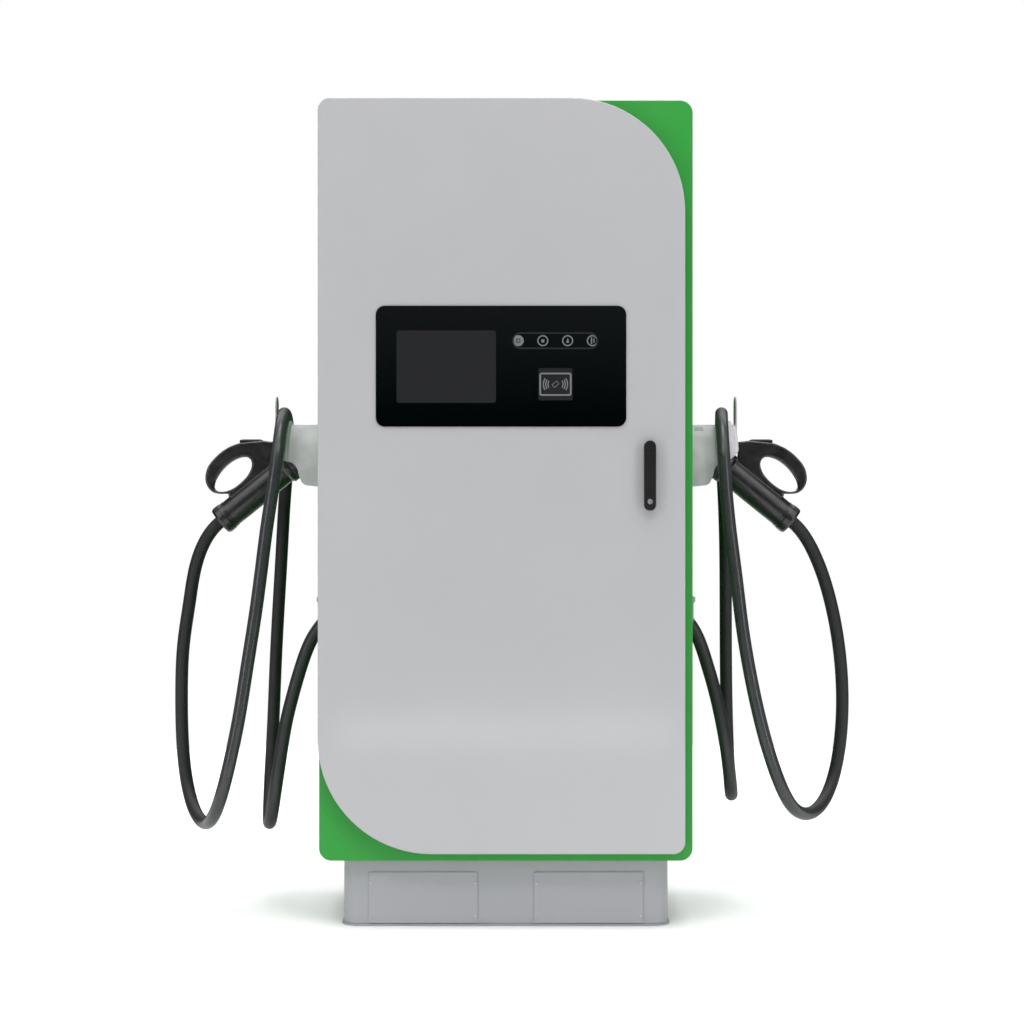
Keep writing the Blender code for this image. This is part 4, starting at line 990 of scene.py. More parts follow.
def make_holders():
    y, bottom = at(HOLDER_DEPTH), 0.890
    centre_z = SADDLE_TOP - SADDLE_RADIUS
    body = plate("cable_saddle", [saddle(SADDLE_RADIUS, bottom)], WALL, HOLDER_REACH, "X", 0.0)
    profile = [(0.30, 1.10), (0.30, 0.80), (0.410, 0.80), (0.410, bottom)]
    profile += arc((0.410, 0.904), 0.014, -90, -15, 12)[1:]
    profile += [(0.4285, 0.9126)]
    profile += arc((0.4560, 0.9125), 0.0275, 165, 90, 16)
    profile += [(0.4640, 0.944), (0.4760, 0.954), (HOLDER_REACH, 0.962), (HOLDER_REACH, 1.10)]
    rib = plate("cable_rib", [saddle(SADDLE_RADIUS + 0.008, centre_z)], 0.451, 0.473, "X", 0.0)
    fuse(body, rib)
    combine(body, "INTERSECT", plate("holder_envelope", [profile], y - 0.2, y + 0.2, "Y", 0.0))
    core = plate("holder_core", [saddle(SADDLE_RADIUS - 0.008, bottom + 0.008)], WALL - 0.01,
                 0.404, "X", 0.0)
    bore = turned("socket_bore", [(0.0375, -0.009), (0.0375, 0.120)], gun_point(0, 0), GUN_AXIS,
                  64)
    cut(body, core, bore)
    softened(body, 0.0017, 5)
    both_sides("holder_shell", body, HOLDER_GREY, ["holder"], angle=80.0)

    crown = (y, centre_z)
    cap = arc(crown, SADDLE_RADIUS + 0.0006, 109.0, 120.0, 8)
    cap += arc(crown, SADDLE_RADIUS - 0.0010, 120.0, 109.0, 8)
    # The cap is darker than the holder as painted shade for the groove round it.
    both_sides("screw_cap", plate("screw_cap", [cap], 0.3940, 0.4120, "X", 0.0002), CAP_GREY)
    outline = rounded_rectangle((y - 0.023, y + 0.023, 0.968, 1.078), (0.006, 0.006, 0.019, 0.019))
    low = HOLDER_REACH + GAP
    flange = plate("retainer_plate", [outline], low, low + 0.003, "X", 0.0009, 3)
    heads = [screw_head((low + 0.003, y + offset, 0.980), RIGHTWARD, 0.0040)
             for offset in (-0.013, 0.013)]
    both_sides("retainer_plate", flange, HOLDER_GREY, ["cable_retainer"])
    both_sides("retainer_screws", joined("retainer_screws", heads), STEEL)

    socket = turned("socket_cup", [(0.030, -0.0080), (0.0362, -0.0080), (0.037, -0.0072),
                                   (0.037, SOCKET_MOUTH - 0.0008), (0.0362, SOCKET_MOUTH),
                                   (0.0275, SOCKET_MOUTH), (0.0265, SOCKET_MOUTH - 0.001),
                                   (0.0265, -0.0030), (0.004, -0.0030)],
                    gun_point(0.0, 0.0), GUN_AXIS, 64)
    both_sides("socket_cup", socket, GUN_BLACK, ["gun_socket"])


def rounded_path(points, closed=False, steps=4):
    """Smooth curve through points (Catmull-Rom)."""
    count = len(points)
    path = []
    for k in range(count if closed else count - 1):
        ends = [k - 1, k, k + 1, k + 2]
        ends = [e % count if closed else min(max(e, 0), count - 1) for e in ends]
        a, b, c, d = (np.array(points[e]) for e in ends)
        for t in np.arange(steps) / steps:
            path.append(tuple(0.5 * (2 * b + (c - a) * t + (2 * a - 5 * b + 4 * c - d) * t**2
                                     + (3 * b - a - 3 * c + d) * t**3)))
    return path if closed else path + [tuple(points[-1])]


def grip_outlines():
    """Outline of the gun's loop handle and of the finger opening, along and above its axis."""
    outer = [(0.2003, 0.0390), (0.2095, 0.0464), (0.2160, 0.0540), (0.2192, 0.0625),
             (0.2196, 0.0712), (0.2172, 0.0811), (0.2124, 0.0894), (0.2060, 0.0964),
             (0.1963, 0.1036), (0.1850, 0.1081), (0.1728, 0.1106), (0.1600, 0.1120),
             (0.1470, 0.1121), (0.1333, 0.1106), (0.1234, 0.1080), (0.1161, 0.1057)]
    outer = [(0.1975, 0.0080), (0.1975, 0.0305), (0.1942, 0.0346)] + rounded_path(outer)
    outer += [(0.1088, 0.1028), (0.0660, 0.0745), (0.0562, 0.0642), (0.0520, 0.0600),
              (0.0720, 0.0330), (0.0720, 0.0080)]
    opening = [(0.2118, 0.0600), (0.2100, 0.0655), (0.2022, 0.0722), (0.1943, 0.0763),
               (0.1838, 0.0799), (0.1708, 0.0828), (0.1592, 0.0838), (0.1463, 0.0833),
               (0.1359, 0.0813), (0.1263, 0.0779), (0.1190, 0.0733), (0.1146, 0.0680),
               (0.1131, 0.0610), (0.1156, 0.0534), (0.1223, 0.0467), (0.1322, 0.0412),
               (0.1443, 0.0376), (0.1575, 0.0361), (0.1700, 0.0360), (0.1809, 0.0372),
               (0.1909, 0.0400), (0.1994, 0.0442), (0.2065, 0.0500), (0.2107, 0.0552)]
    return outer, rounded_path(opening, closed=True)


def make_guns():
    """Gun body with its loop handle, moulded in one, with collars, a button and the tail."""
    body = turned("gun_body", [(0.0240, 0.0), (0.0252, 0.002), (0.0252, 0.0570),
                               (0.0335, 0.0582), (0.0340, 0.0600), (0.0340, 0.0680),
                               (0.0290, 0.0730), (0.0292, 0.1900), (0.0288, 0.2200)],
                  gun_point(0.0, 0.0), GUN_AXIS, 64)
    loops = [[tuple(gun_point(along, up).xz) for along, up in loop] for loop in grip_outlines()]
    y = at(HOLDER_DEPTH)
    handle = plate("gun_handle", loops, y - 0.0155, y + 0.0155, "Y", 0.0035, 3)
    low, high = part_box("gun_button_right")
    rib_pitch = 0.0044
    pocket = box("button_pocket", (low.x - 0.0006, HOLDER_DEPTH - 0.0096, low.z - 0.006),
                 (high.x + 0.0006, HOLDER_DEPTH + 0.0096, high.z + 0.02), 0.0)
    body = softened(joined("gun_shell", [body, handle]), 0.0014, 3)
    cut(body, pocket)
    guns = both_sides("gun_shell", body, GUN_BLACK, ["charging_gun"], angle=60.0)

    collar = [(0.0150, 0.2170), (0.0294, 0.2170), (0.0296, 0.2180), (0.0298, 0.2240),
              (0.0308, 0.2275), (0.0310, 0.2290), (0.0310, 0.2400), (0.0306, 0.2418),
              (0.0290, 0.2448), (0.0280, GUN_LENGTH), (0.0150, GUN_LENGTH)]
    tails = both_sides("gun_collar", turned("gun_collar", collar, gun_point(0, 0), GUN_AXIS, 64),
                       GUN_BLACK)
    ring = turned("gun_ring", [(0.0280, 0.0745), (0.0296, 0.0748), (0.0300, 0.0756),
                               (0.0300, 0.0778), (0.0296, 0.0786), (0.0280, 0.0789)],
                  gun_point(0, 0), GUN_AXIS, 64)
    rings = both_sides("gun_ring", ring, GUN_BLACK)

    parts = [box("button", (low.x, HOLDER_DEPTH - 0.009, low.z), (high.x, HOLDER_DEPTH + 0.009,
                                                                  high.z - 0.0012), 0.0014, 3)]
    for k in range(9):
        x = low.x + 0.0055 + k * rib_pitch
        parts.append(box("rib", (x - 0.0010, HOLDER_DEPTH - 0.0078, high.z - 0.004),
                         (x + 0.0010, HOLDER_DEPTH + 0.0078, high.z), 0.0005))
    buttons = both_sides("release_button", joined("release_button", parts), GUN_BLACK,
                         ["gun_button"], body="button_SIDE")
    return {side: [guns[side], tails[side], rings[side], buttons[side]] for side in guns}


def make_exits():
    ring_pitch = 0.0063
    y = at(EXIT_DEPTH)
    down = Vector((math.sin(EXIT_TILT), 0.0, -math.cos(EXIT_TILT)))
    exit_point = Vector((EXIT_X, y, EXIT_Z))
    profile = [(WALL, 0.578), (0.3780, 0.578), (0.3880, 0.612), (0.3880, 0.646),
               (0.3915, 0.650), (0.3915, 0.659), (WALL, 0.666)]
    hood = plate("exit_hood", [profile], y - 0.030, y + 0.030, "Y", 0.0009, 3)
    bore = turned("exit_bore", [(0.0160, 0.0), (0.0160, 0.110)], exit_point - down * 0.060, down,
                  40)
    both_sides("exit_hood", cut(hood, bore), PLINTH_GREY, ["cable_exit_hood"], depth=EXIT_DEPTH)
    boot = [(0.0100, 0.0), (0.0155, 0.0)]
    for k in range(6):
        start = 0.003 + k * ring_pitch
        radius = 0.0155 - 0.0003 * k
        boot += [(radius, start), (radius - 0.0008, start + 0.0008),
                 (radius - 0.0008, start + 0.0032), (radius, start + 0.0040)]
    boot += [(0.0136, 0.0412), (0.0130, 0.0417), (0.0100, 0.0417)]
    relief = turned("cable_boot", boot, exit_point - down * 0.042, down, 48)
    both_sides("cable_boot", relief, RUBBER, ["strain_relief"], depth=EXIT_DEPTH)


# ---------------------------------------------------------------- rear side
def span(node):
    """Corners of a CAD node's box as x, depth, z."""
    low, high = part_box(node)
    return np.array((low.x, low.y - FRONT_Y, low.z)), np.array((high.x, high.y - FRONT_Y, high.z))


def make_rear_panel():
    low, high = span("rear_panel")
    outline = rounded_rectangle((low[0], high[0], low[2], high[2]), 0.012, 8)
    apertures = [circle(x, FAN_Z, FAN_BORE, 64) for x in (-FAN_X, FAN_X)]
    slots, hoods, places = [], [], []
    for column in LOUVRE_X:
        for row in range(LOUVRE_ROWS):
            z = LOUVRE_Z + row * LOUVRE_PITCH
            slots.append(rounded_rectangle((column - 0.095, column + 0.095, z, z + 0.009),
                                           0.002, 4))
            hoods.append(louvre(column, z, high[1]))
    for x in (low[0] + 0.012, 0.0, high[0] - 0.012):
        places += [(x, high[1], z) for z in (low[2] + 0.014, 0.60, 0.95, high[2] - 0.014)
                   if x != 0.0 or z in (low[2] + 0.014, high[2] - 0.014)]
    holes = [circle(x, z, 0.0026, 12) for x, _, z in places]
    panel = depth_plate("rear_panel", [outline, *apertures, *slots, *holes], low[1], high[1],
                        0.0005, 2)
    assembly("rear_panel_pressed", [panel, *hoods], DOOR_GREY, ["rear_panel"])
    screws("rear_panel_screws", places, REARWARD, 0.0048)


def louvre(column, z, depth):
    """Pressed hood over one slot, open below and closed at its ends."""
    rings = []
    for share in np.linspace(-1.0, 1.0, 15):
        x = column + share * 0.096
        out = 0.0078 * (1.0 - abs(share) ** 12)
        outer = [(x, at(depth + 0.0002), z + 0.0150), (x, at(depth + 0.35 * out), z + 0.0128),
                 (x, at(depth + 0.72 * out), z + 0.0092), (x, at(depth + 0.93 * out), z + 0.0052),
                 (x, at(depth + out), z + 0.0008)]
        inner = [(x, y - (0.0011 if k else 0.0), up - 0.0008 * k / 4)
                 for k, (_, y, up) in reversed(list(enumerate(outer)))]
        rings.append(outer + inner)
    return loft("louvre", rings)


def make_exhaust_hood():
    low, high = span("exhaust_hood")
    front, rear = at(low[1]), at(high[1])
    bend = arc((rear - 0.024, high[2] - 0.024), 0.024, 0.0, 90.0, 12)
    inner_bend = arc((rear - 0.024, high[2] - 0.024), 0.0225, 90.0, 0.0, 12)
    sheet = [(rear, low[2]), *bend, (front, high[2]), (front, high[2] - 0.0015), *inner_bend,
             (rear - 0.0015, low[2])]
    cheek = [(front, low[2]), (rear, low[2]), *bend, (front, high[2])]
    pieces = [plate("hood_sheet", [sheet], low[0], high[0], "X", 0.0004, 2)]
    for x in (low[0], high[0] - 0.0016):
        pieces.append(plate("hood_cheek", [cheek], x, x + 0.0016, "X", 0.0004, 2))
    lip = box("hood_lip", (low[0] + 0.002, high[1] - 0.010, low[2]),
              (high[0] - 0.002, high[1] - 0.001, low[2] + 0.0015), 0.0004)
    assembly("exhaust_hood_folded", [*pieces, lip], DOOR_GREY, ["exhaust_hood"])
    places = [(low[0] + 0.015 + k * (high[0] - low[0] - 0.03) / 4, (low[1] + high[1]) / 2,
               high[2] - 0.0002) for k in range(5)]
    screws("hood_rivets", places, UPWARD, 0.0032, surface=ALUMINIUM)


def fan_blade(centre, phase, depths, radii):
    """One twisted blade from the hub to its tip."""
    x, z = centre
    rings = []
    for radius in np.linspace(*radii, 7):
        share = (radius - radii[0]) / (radii[1] - radii[0])
        ring = []
        for t, skin in [(t, 1) for t in np.linspace(0, 1, 8)] + [(t, -1) for t in
                                                                 np.linspace(1, 0, 8)]:
            thick = 0.0011 * math.sin(math.pi * min(max(t, 0.12), 0.88))
            angle = phase + 0.22 * share + (0.70 - 0.18 * share) * (t - 0.5)
            rise = 0.08 + 0.84 * t - 0.06 * math.sin(math.pi * t) * (1.0 - share)
            depth = depths[0] + (depths[1] - depths[0]) * rise + skin * thick
            ring.append((x + radius * math.cos(angle), at(depth), z + radius * math.sin(angle)))
        rings.append(ring)
    return loft("fan_blade", rings)


def make_fans():
    blades = 7
    for side, x in (("left", -FAN_X), ("right", FAN_X)):
        low, high = span(f"fan_housing_{side}")
        half = (high[0] - low[0]) / 2
        frame_outline = rounded_rectangle((x - half, x + half, FAN_Z - half, FAN_Z + half),
                                          0.012, 8)
        bore = circle(x, FAN_Z, FAN_BORE, 72)
        corners = [(x + a * (half - 0.010), FAN_Z + b * (half - 0.010))
                   for a in (-1, 1) for b in (-1, 1)]
        holes = [circle(a, b, 0.0024, 14) for a, b in corners]
        flanges = [depth_plate("fan_flange", [frame_outline, bore, *holes], *depths, 0.0008, 2)
                   for depths in ((low[1], low[1] + 0.006), (high[1] - 0.006, high[1]))]
        barrel = depth_plate("fan_barrel", [circle(x, FAN_Z, FAN_BORE + 0.004, 72), bore],
                             low[1] + 0.005, high[1] - 0.005, 0.0003, 1)
        spokes = [depth_plate("motor_plate", [circle(x, FAN_Z, 0.030, 40)],
                              high[1] - 0.006, high[1] - 0.002, 0.0008, 2)]
        for angle in (45.0, 135.0, 225.0, 315.0):
            a = math.radians(angle)
            ends = [(x + r * math.cos(a), at(high[1] - 0.004), FAN_Z + r * math.sin(a))
                    for r in (0.028, FAN_BORE + 0.002)]
            spokes.append(tube("fan_spoke", ends, 0.0019, 10))
        assembly(f"fan_frame_{side}", [*flanges, barrel, *spokes], BLACK, [f"fan_housing_{side}"])
        wires = []
        for radius in (0.018, 0.030, 0.042, 0.054, 0.066, 0.0765):
            ring = [(a, at(high[1] + 0.0052), b) for a, b in circle(x, FAN_Z, radius, 48)]
            wires.append(tube("guard_ring", ring + ring[:2], 0.0009, 8))
        for a, b in corners:
            start = (x + (a - x) * 0.16, at(high[1] + 0.0040), FAN_Z + (b - FAN_Z) * 0.16)
            wires.append(tube("guard_arm", [start, (a, at(high[1] + 0.0040), b)], 0.0010, 8))
        assembly(f"fan_guard_{side}", wires, STEEL)
        low, high = span(f"fan_rotor_{side}")
        depths = (low[1] + 0.001, high[1] - 0.001)
        hub = [(0.026, 0.0), (0.0295, 0.0012), (0.0305, 0.004), (0.0305, 0.028), (0.0290, 0.030)]
        pieces = [turned("fan_hub", hub, (x, at(low[1] + 0.0005), FAN_Z), REARWARD, 56)]
        pieces += [fan_blade((x, FAN_Z), k * math.tau / blades, depths, (0.0300, 0.0710))
                   for k in range(blades)]
        assembly(f"fan_wheel_{side}", pieces, BLACK, [f"fan_rotor_{side}"], f"fan_{side}",
                 angle=50.0)


# ---------------------------------------------------------------- inside
def corner_places(low, high, inset):
    """The four places, as x and z, a little inside the corners of a face."""
    return [(x, z) for x in (low[0] + inset, high[0] - inset)
            for z in (low[2] + inset, high[2] - inset)]


def make_module(number, low, high):
    """Rectifier module: sheet case, front plate with two grilles, handle, connector, lamps."""
    middle = (low[2] + high[2]) / 2
    case = box("module_case", low + (0.001, 0.0045, 0.0008), high - (0.001, 0, 0.0008), 0.0012)
    outline = rounded_rectangle((low[0], high[0], low[2], high[2]), 0.002, 4)
    openings, wires = [], []
    for x in (-0.072, 0.052):
        openings.append(circle(x, middle, 0.0345, 56))
        for radius in (0.010, 0.018, 0.026, 0.0335):
            ring = [(a, at(low[1] + 0.0022), b) for a, b in circle(x, middle, radius, 40)]
            wires.append(tube("grille_ring", ring + ring[:2], 0.0008, 6))
        for angle in (0.0, 60.0, 120.0):
            a = math.radians(angle)
            arm = Vector((math.cos(a), 0.0, math.sin(a))) * 0.0355
            centre = Vector((x, at(low[1] + 0.0030), middle))
            wires.append(tube("grille_arm", [centre - arm, centre + arm], 0.0008, 6))
    front = depth_plate("module_front", [outline, *openings], low[1] + 0.0008, low[1] + 0.0026,
                        0.0005, 2)
    assembly(f"module_{number}_case", [case, front], ALUMINIUM, [f"power_module_{number}"])
    assembly(f"module_{number}_grilles", wires, STEEL)
    grip = [(-0.010, at(low[1] + 0.002), middle - 0.030),
            (-0.010, at(low[1] - 0.016), middle - 0.026),
            (-0.010, at(low[1] - 0.016), middle + 0.026),
            (-0.010, at(low[1] + 0.002), middle + 0.030)]
    dress(tube(f"module_{number}_handle", grip, 0.0030, 14), BLACK)
    socket = box(f"module_{number}_socket", (0.104, low[1] - 0.004, middle - 0.026),
                 (0.122, low[1] + 0.002, middle + 0.010), 0.0012)
    pins = [box("pin", (0.1075 + k * 0.0037, low[1] - 0.0046, middle - 0.022 + row * 0.007),
                (0.1093 + k * 0.0037, low[1] - 0.0038, middle - 0.019 + row * 0.007), 0.0)
            for k in range(3) for row in range(4)]
    dress(socket, BLACK)
    assembly(f"module_{number}_pins", pins, BRASS)
    lamps = [turned("lamp", [(0.0018, 0.0), (0.0018, 0.0010), (0.0010, 0.0018)],
                    (0.110 + k * 0.008, at(low[1] + 0.0008), middle + 0.024), FORWARD, 16)
             for k in range(2)]
    assembly(f"module_{number}_lamps", lamps, LAMP_GREEN)
    screws(f"module_{number}_screws", [(sign * 0.146, low[1] + 0.0008, middle + 0.030)
                                       for sign in (-1, 1)], FORWARD, 0.0034)


def device_terminals(places, depth, radius=0.0042):
    """Screws in the mouths of a device's terminals."""
    return [screw_head((x, at(depth), z), FORWARD, radius) for x, z in places]


def make_contactors():
    for side in ("left", "right"):
        name = f"dc_contactor_{side}"
        low, high = span(name)
        rib_pitch, pole_pitch = 0.0125, 0.0267
        body = box("contactor_body", low + (0, 0.022, 0), high, 0.0030, 4)
        nose = box("contactor_nose", low + (0.006, 0, 0.024),
                   (high[0] - 0.006, low[1] + 0.024, high[2] - 0.024), 0.0040, 4)
        ribs = [box("contactor_rib", (low[0] + 0.010 + k * rib_pitch, low[1] - 0.0002, low[2]
                                      + 0.030), (low[0] + 0.014 + k * rib_pitch, low[1] + 0.0014,
                                                 low[2] + 0.042), 0.0006) for k in range(5)]
        terminals = [(low[0] + 0.0133 + k * pole_pitch, z) for k in range(3)
                     for z in (low[2] + 0.011, high[2] - 0.011)]
        tools = [box("terminal_mouth", (x - 0.0085, low[1] + 0.015, z - 0.0085),
                     (x + 0.0085, low[1] + 0.031, z + 0.0085), 0.0)
                 for x, z in terminals]
        assembly(name + "_case", [cut(fuse(body, nose), *tools), *ribs], BLACK, [name])
        assembly(name + "_screws", device_terminals(terminals, low[1] + 0.031), STEEL)


def make_meter():
    low, high = span("energy_meter")
    case = box("meter_case", low + (0, 0.010, 0), high, 0.0040, 4)
    raised = box("meter_face", low + (0.006, 0, 0.038),
                 (high[0] - 0.006, low[1] + 0.012, high[2] - 0.008), 0.0050, 5)
    cover = box("meter_cover", low + (0.003, 0.003, 0.003),
                (high[0] - 0.003, low[1] + 0.012, low[2] + 0.032), 0.0030, 4)
    window = box("window_cut", (low[0] + 0.020, low[1] - 0.001, high[2] - 0.050),
                 (high[0] - 0.020, low[1] + 0.0016, high[2] - 0.022), 0.0)
    assembly("meter_case", [case, cut(raised, window), cover], DEVICE_GREY, ["energy_meter"])
    dress(box("meter_window", (low[0] + 0.0202, low[1] + 0.0006, high[2] - 0.0498),
              (high[0] - 0.0202, low[1] + 0.0016, high[2] - 0.0222), 0.0003), SCREEN)
    button = turned("meter_button", [(0.0042, 0.0), (0.0042, 0.0016), (0.0034, 0.0022)],
                    ((low[0] + high[0]) / 2, at(low[1] + 0.0004), high[2] - 0.060), FORWARD, 28)
    dress(button, BLACK)
    screws("meter_seals",
           [(x, low[1] + 0.003, low[2] + 0.0175) for x in (low[0] + 0.012, high[0] - 0.012)],
           FORWARD)


def make_power_supply():
    low, high = span("power_supply")
    hole_pitch, terminal_pitch = 0.0082, 0.0128
    outline = rounded_rectangle((low[0], high[0], low[2], high[2]), 0.0020, 4)
    holes = []
    for row in range(8):
        for column in range(11):
            x = low[0] + 0.013 + column * hole_pitch + (row % 2) * hole_pitch / 2
            holes.append(circle(x, low[2] + 0.034 + row * 0.0104, 0.0027, 12))
    holes = [hole for hole in holes if hole[0][0] < high[0] - 0.008]
    cover = depth_plate("supply_cover", [outline, *holes], low[1] + 0.001, low[1] + 0.0026,
                        0.0004, 1)
    case = box("supply_case", low + (0.0005, 0.006, 0.0005), high - (0.0005, 0, 0.0005), 0.0010)
    walls = [box("supply_wall", (x, low[1] + 0.0020, low[2] + 0.0005),
                 (x + 0.0014, low[1] + 0.010, high[2] - 0.0005), 0.0003)
             for x in (low[0] + 0.0004, high[0] - 0.0018)]
    assembly("supply_case", [cover, case, *walls], ALUMINIUM, ["power_supply"])
    strip = box("supply_terminals", low + (0.006, 0, 0.004),
                (high[0] - 0.006, low[1] + 0.006, low[2] + 0.022), 0.0010)
    fins = [box("terminal_wall", (low[0] + 0.010 + k * terminal_pitch, low[1] - 0.0003,
                                  low[2] + 0.004),
                (low[0] + 0.0114 + k * terminal_pitch, low[1] + 0.002, low[2] + 0.022), 0.0003)
            for k in range(8)]
    assembly("supply_terminals", [strip, *fins], BLACK)
    heads = device_terminals([(low[0] + 0.0170 + k * terminal_pitch,
                               low[2] + 0.013) for k in range(6)],
                             low[1], 0.0034)
    assembly("supply_screws", heads, STEEL)


def make_control_unit():
    """Circuit board on a tray, with its chips, connectors, capacitors and a heat sink."""
    low, high = span("control_unit")
    plug_pitch, relay_pitch, fin_pitch = 0.034, 0.021, 0.0045
    tray = box("control_tray", (low[0], high[1] - 0.0016, low[2]), high, 0.0006)
    walls = [box("tray_wall", (low[0] + 0.001, high[1] - 0.012, z),
                 (high[0] - 0.001, high[1] - 0.0008, z + 0.0014), 0.0004)
             for z in (low[2], high[2] - 0.0014)]
    face = high[1] - 0.0140
    posts = [turned("standoff", [(0.0028, 0.0), (0.0028, 0.0130)], (x, at(high[1] - 0.001), z),
                    FORWARD, 6) for x, z in corner_places(low, high, 0.012)]
    assembly("control_tray", [tray, *walls, *posts], GALVANISED)
    board = rounded_rectangle((low[0] + 0.006, high[0] - 0.006, low[2] + 0.006, high[2] - 0.006),
                              0.003, 4)
    holes = [circle(x, z, 0.0018, 12) for x, z in corner_places(low, high, 0.012)]
    dress(depth_plate("control_board", [board, *holes], face, face + 0.0016, 0.0002, 1), CIRCUIT,
          ["control_unit"])
    chips = [(-0.060, 1.095, 0.028, 0.028, 0.0022), (0.010, 1.100, 0.020, 0.020, 0.0020),
             (0.060, 1.130, 0.012, 0.022, 0.0024), (0.085, 1.130, 0.012, 0.022, 0.0024),
             (-0.020, 1.140, 0.010, 0.016, 0.0018), (0.045, 1.065, 0.016, 0.010, 0.0018),
             (-0.075, 1.050, 0.014, 0.009, 0.0018), (0.020, 1.060, 0.010, 0.014, 0.0020)]
    bodies = [box("chip", (x - w / 2, face - tall, z - h / 2),
                  (x + w / 2, face + 0.0001, z + h / 2), 0.0004) for x, z, w, h, tall in chips]
    bodies += [box("relay", (0.110 + k * relay_pitch, face - 0.0150, 1.120),
                   (0.128 + k * relay_pitch, face, 1.148), 0.0010) for k in range(3)]
    assembly("control_chips", bodies, BLACK)
    legs = []
    for x, z, w, h, _ in chips[:4]:
        count = int(h / 0.0026)
        for k in range(count):
            up = z - h / 2 + (k + 0.5) * h / count
            for sign in (-1, 1):
                inner, outer = sorted((x + sign * w / 2, x + sign * (w / 2 + 0.0016)))
                legs.append(box("leg", (inner, face - 0.0007, up - 0.0004),
                                (outer, face + 0.0001, up + 0.0004), 0.0))
    assembly("control_legs", legs, STEEL)
    blocks = [box("plug", (low[0] + 0.016 + k * plug_pitch, face - 0.0120, z),
                  (low[0] + 0.044 + k * plug_pitch, face, z + 0.0120), 0.0010)
              for k in range(8) for z in (low[2] + 0.010, high[2] - 0.022)]
    assembly("control_plugs", blocks, PLUG_GREEN)
    heads = device_terminals([(low[0] + 0.0205 + k * plug_pitch + j * 0.0063, z + 0.006)
                              for k in range(8) for j in range(4)
                              for z in (low[2] + 0.010, high[2] - 0.022)], face - 0.0118, 0.0018)
    assembly("control_plug_screws", heads, STEEL)
    cans = [turned("capacitor", [(0.0062, 0.0), (0.0062, 0.0150), (0.0056, 0.0160),
                                 (0.0050, 0.0158)], (x, at(face + 0.0002), z), FORWARD, 28)
            for x, z in ((0.105, 1.060), (0.122, 1.060), (0.139, 1.060), (0.156, 1.060))]
    fins = [box("sink_fin", (-0.050 + k * fin_pitch, face - 0.0200, 1.035),
                (-0.0485 + k * fin_pitch, face - 0.0030, 1.065), 0.0002) for k in range(9)]
    fins.append(box("sink_base", (-0.050, face - 0.0035, 1.035), (-0.0125, face, 1.065), 0.0003))
    assembly("control_capacitors", [*cans, *fins], ALUMINIUM)


def make_breaker():
    low, high = span("main_breaker")
    middle, z = (low[0] + high[0]) / 2, 0.780
    body = box("breaker_case", low + (0, 0.020, 0), high, 0.0030, 4)
    raised = box("breaker_face", low + (0.001, 0, 0.036),
                 (high[0] - 0.001, low[1] + 0.022, high[2] - 0.036), 0.0035, 4)
    slot = box("toggle_slot", (middle - 0.0180, low[1] - 0.010, z - 0.0260),
               (middle + 0.0180, low[1] + 0.0220, z + 0.0260), 0.0)
    pole_pitch = 0.035
    terminals = [(middle + k * pole_pitch, up) for k in (-1, 0, 1)
                 for up in (low[2] + 0.016, high[2] - 0.016)]
    mouths = [box("terminal_mouth", (x - 0.0125, low[1] + 0.010, up - 0.0130),
                  (x + 0.0125, low[1] + 0.034, up + 0.0130), 0.0)
              for x, up in terminals]
    fuse(body, raised)
    dress(cut(body, slot, *mouths), BLACK, ["main_breaker"])
    assembly("breaker_screws", device_terminals(terminals, low[1] + 0.034, 0.0070), STEEL)
    axis = Vector((middle, at(low[1] + 0.010), z))
    barrel = turned("toggle_barrel", [(0.0070, 0.0), (0.0079, 0.0010), (0.0079, 0.0310),
                                      (0.0070, 0.0320)], axis - Vector((0.016, 0, 0)),
                    RIGHTWARD, 40)
    tilt = math.radians(20.0)
    outward = Vector((0.0, -math.cos(tilt), math.sin(tilt)))
    arm = turned("toggle_arm", [(0.0058, 0.0), (0.0052, 0.018), (0.0058, 0.028),
                                (0.0054, 0.0325), (0.0036, 0.0340)], axis, outward, 32)
    dress(fuse(barrel, arm), DEVICE_GREY, ["breaker_toggle"], "toggle")


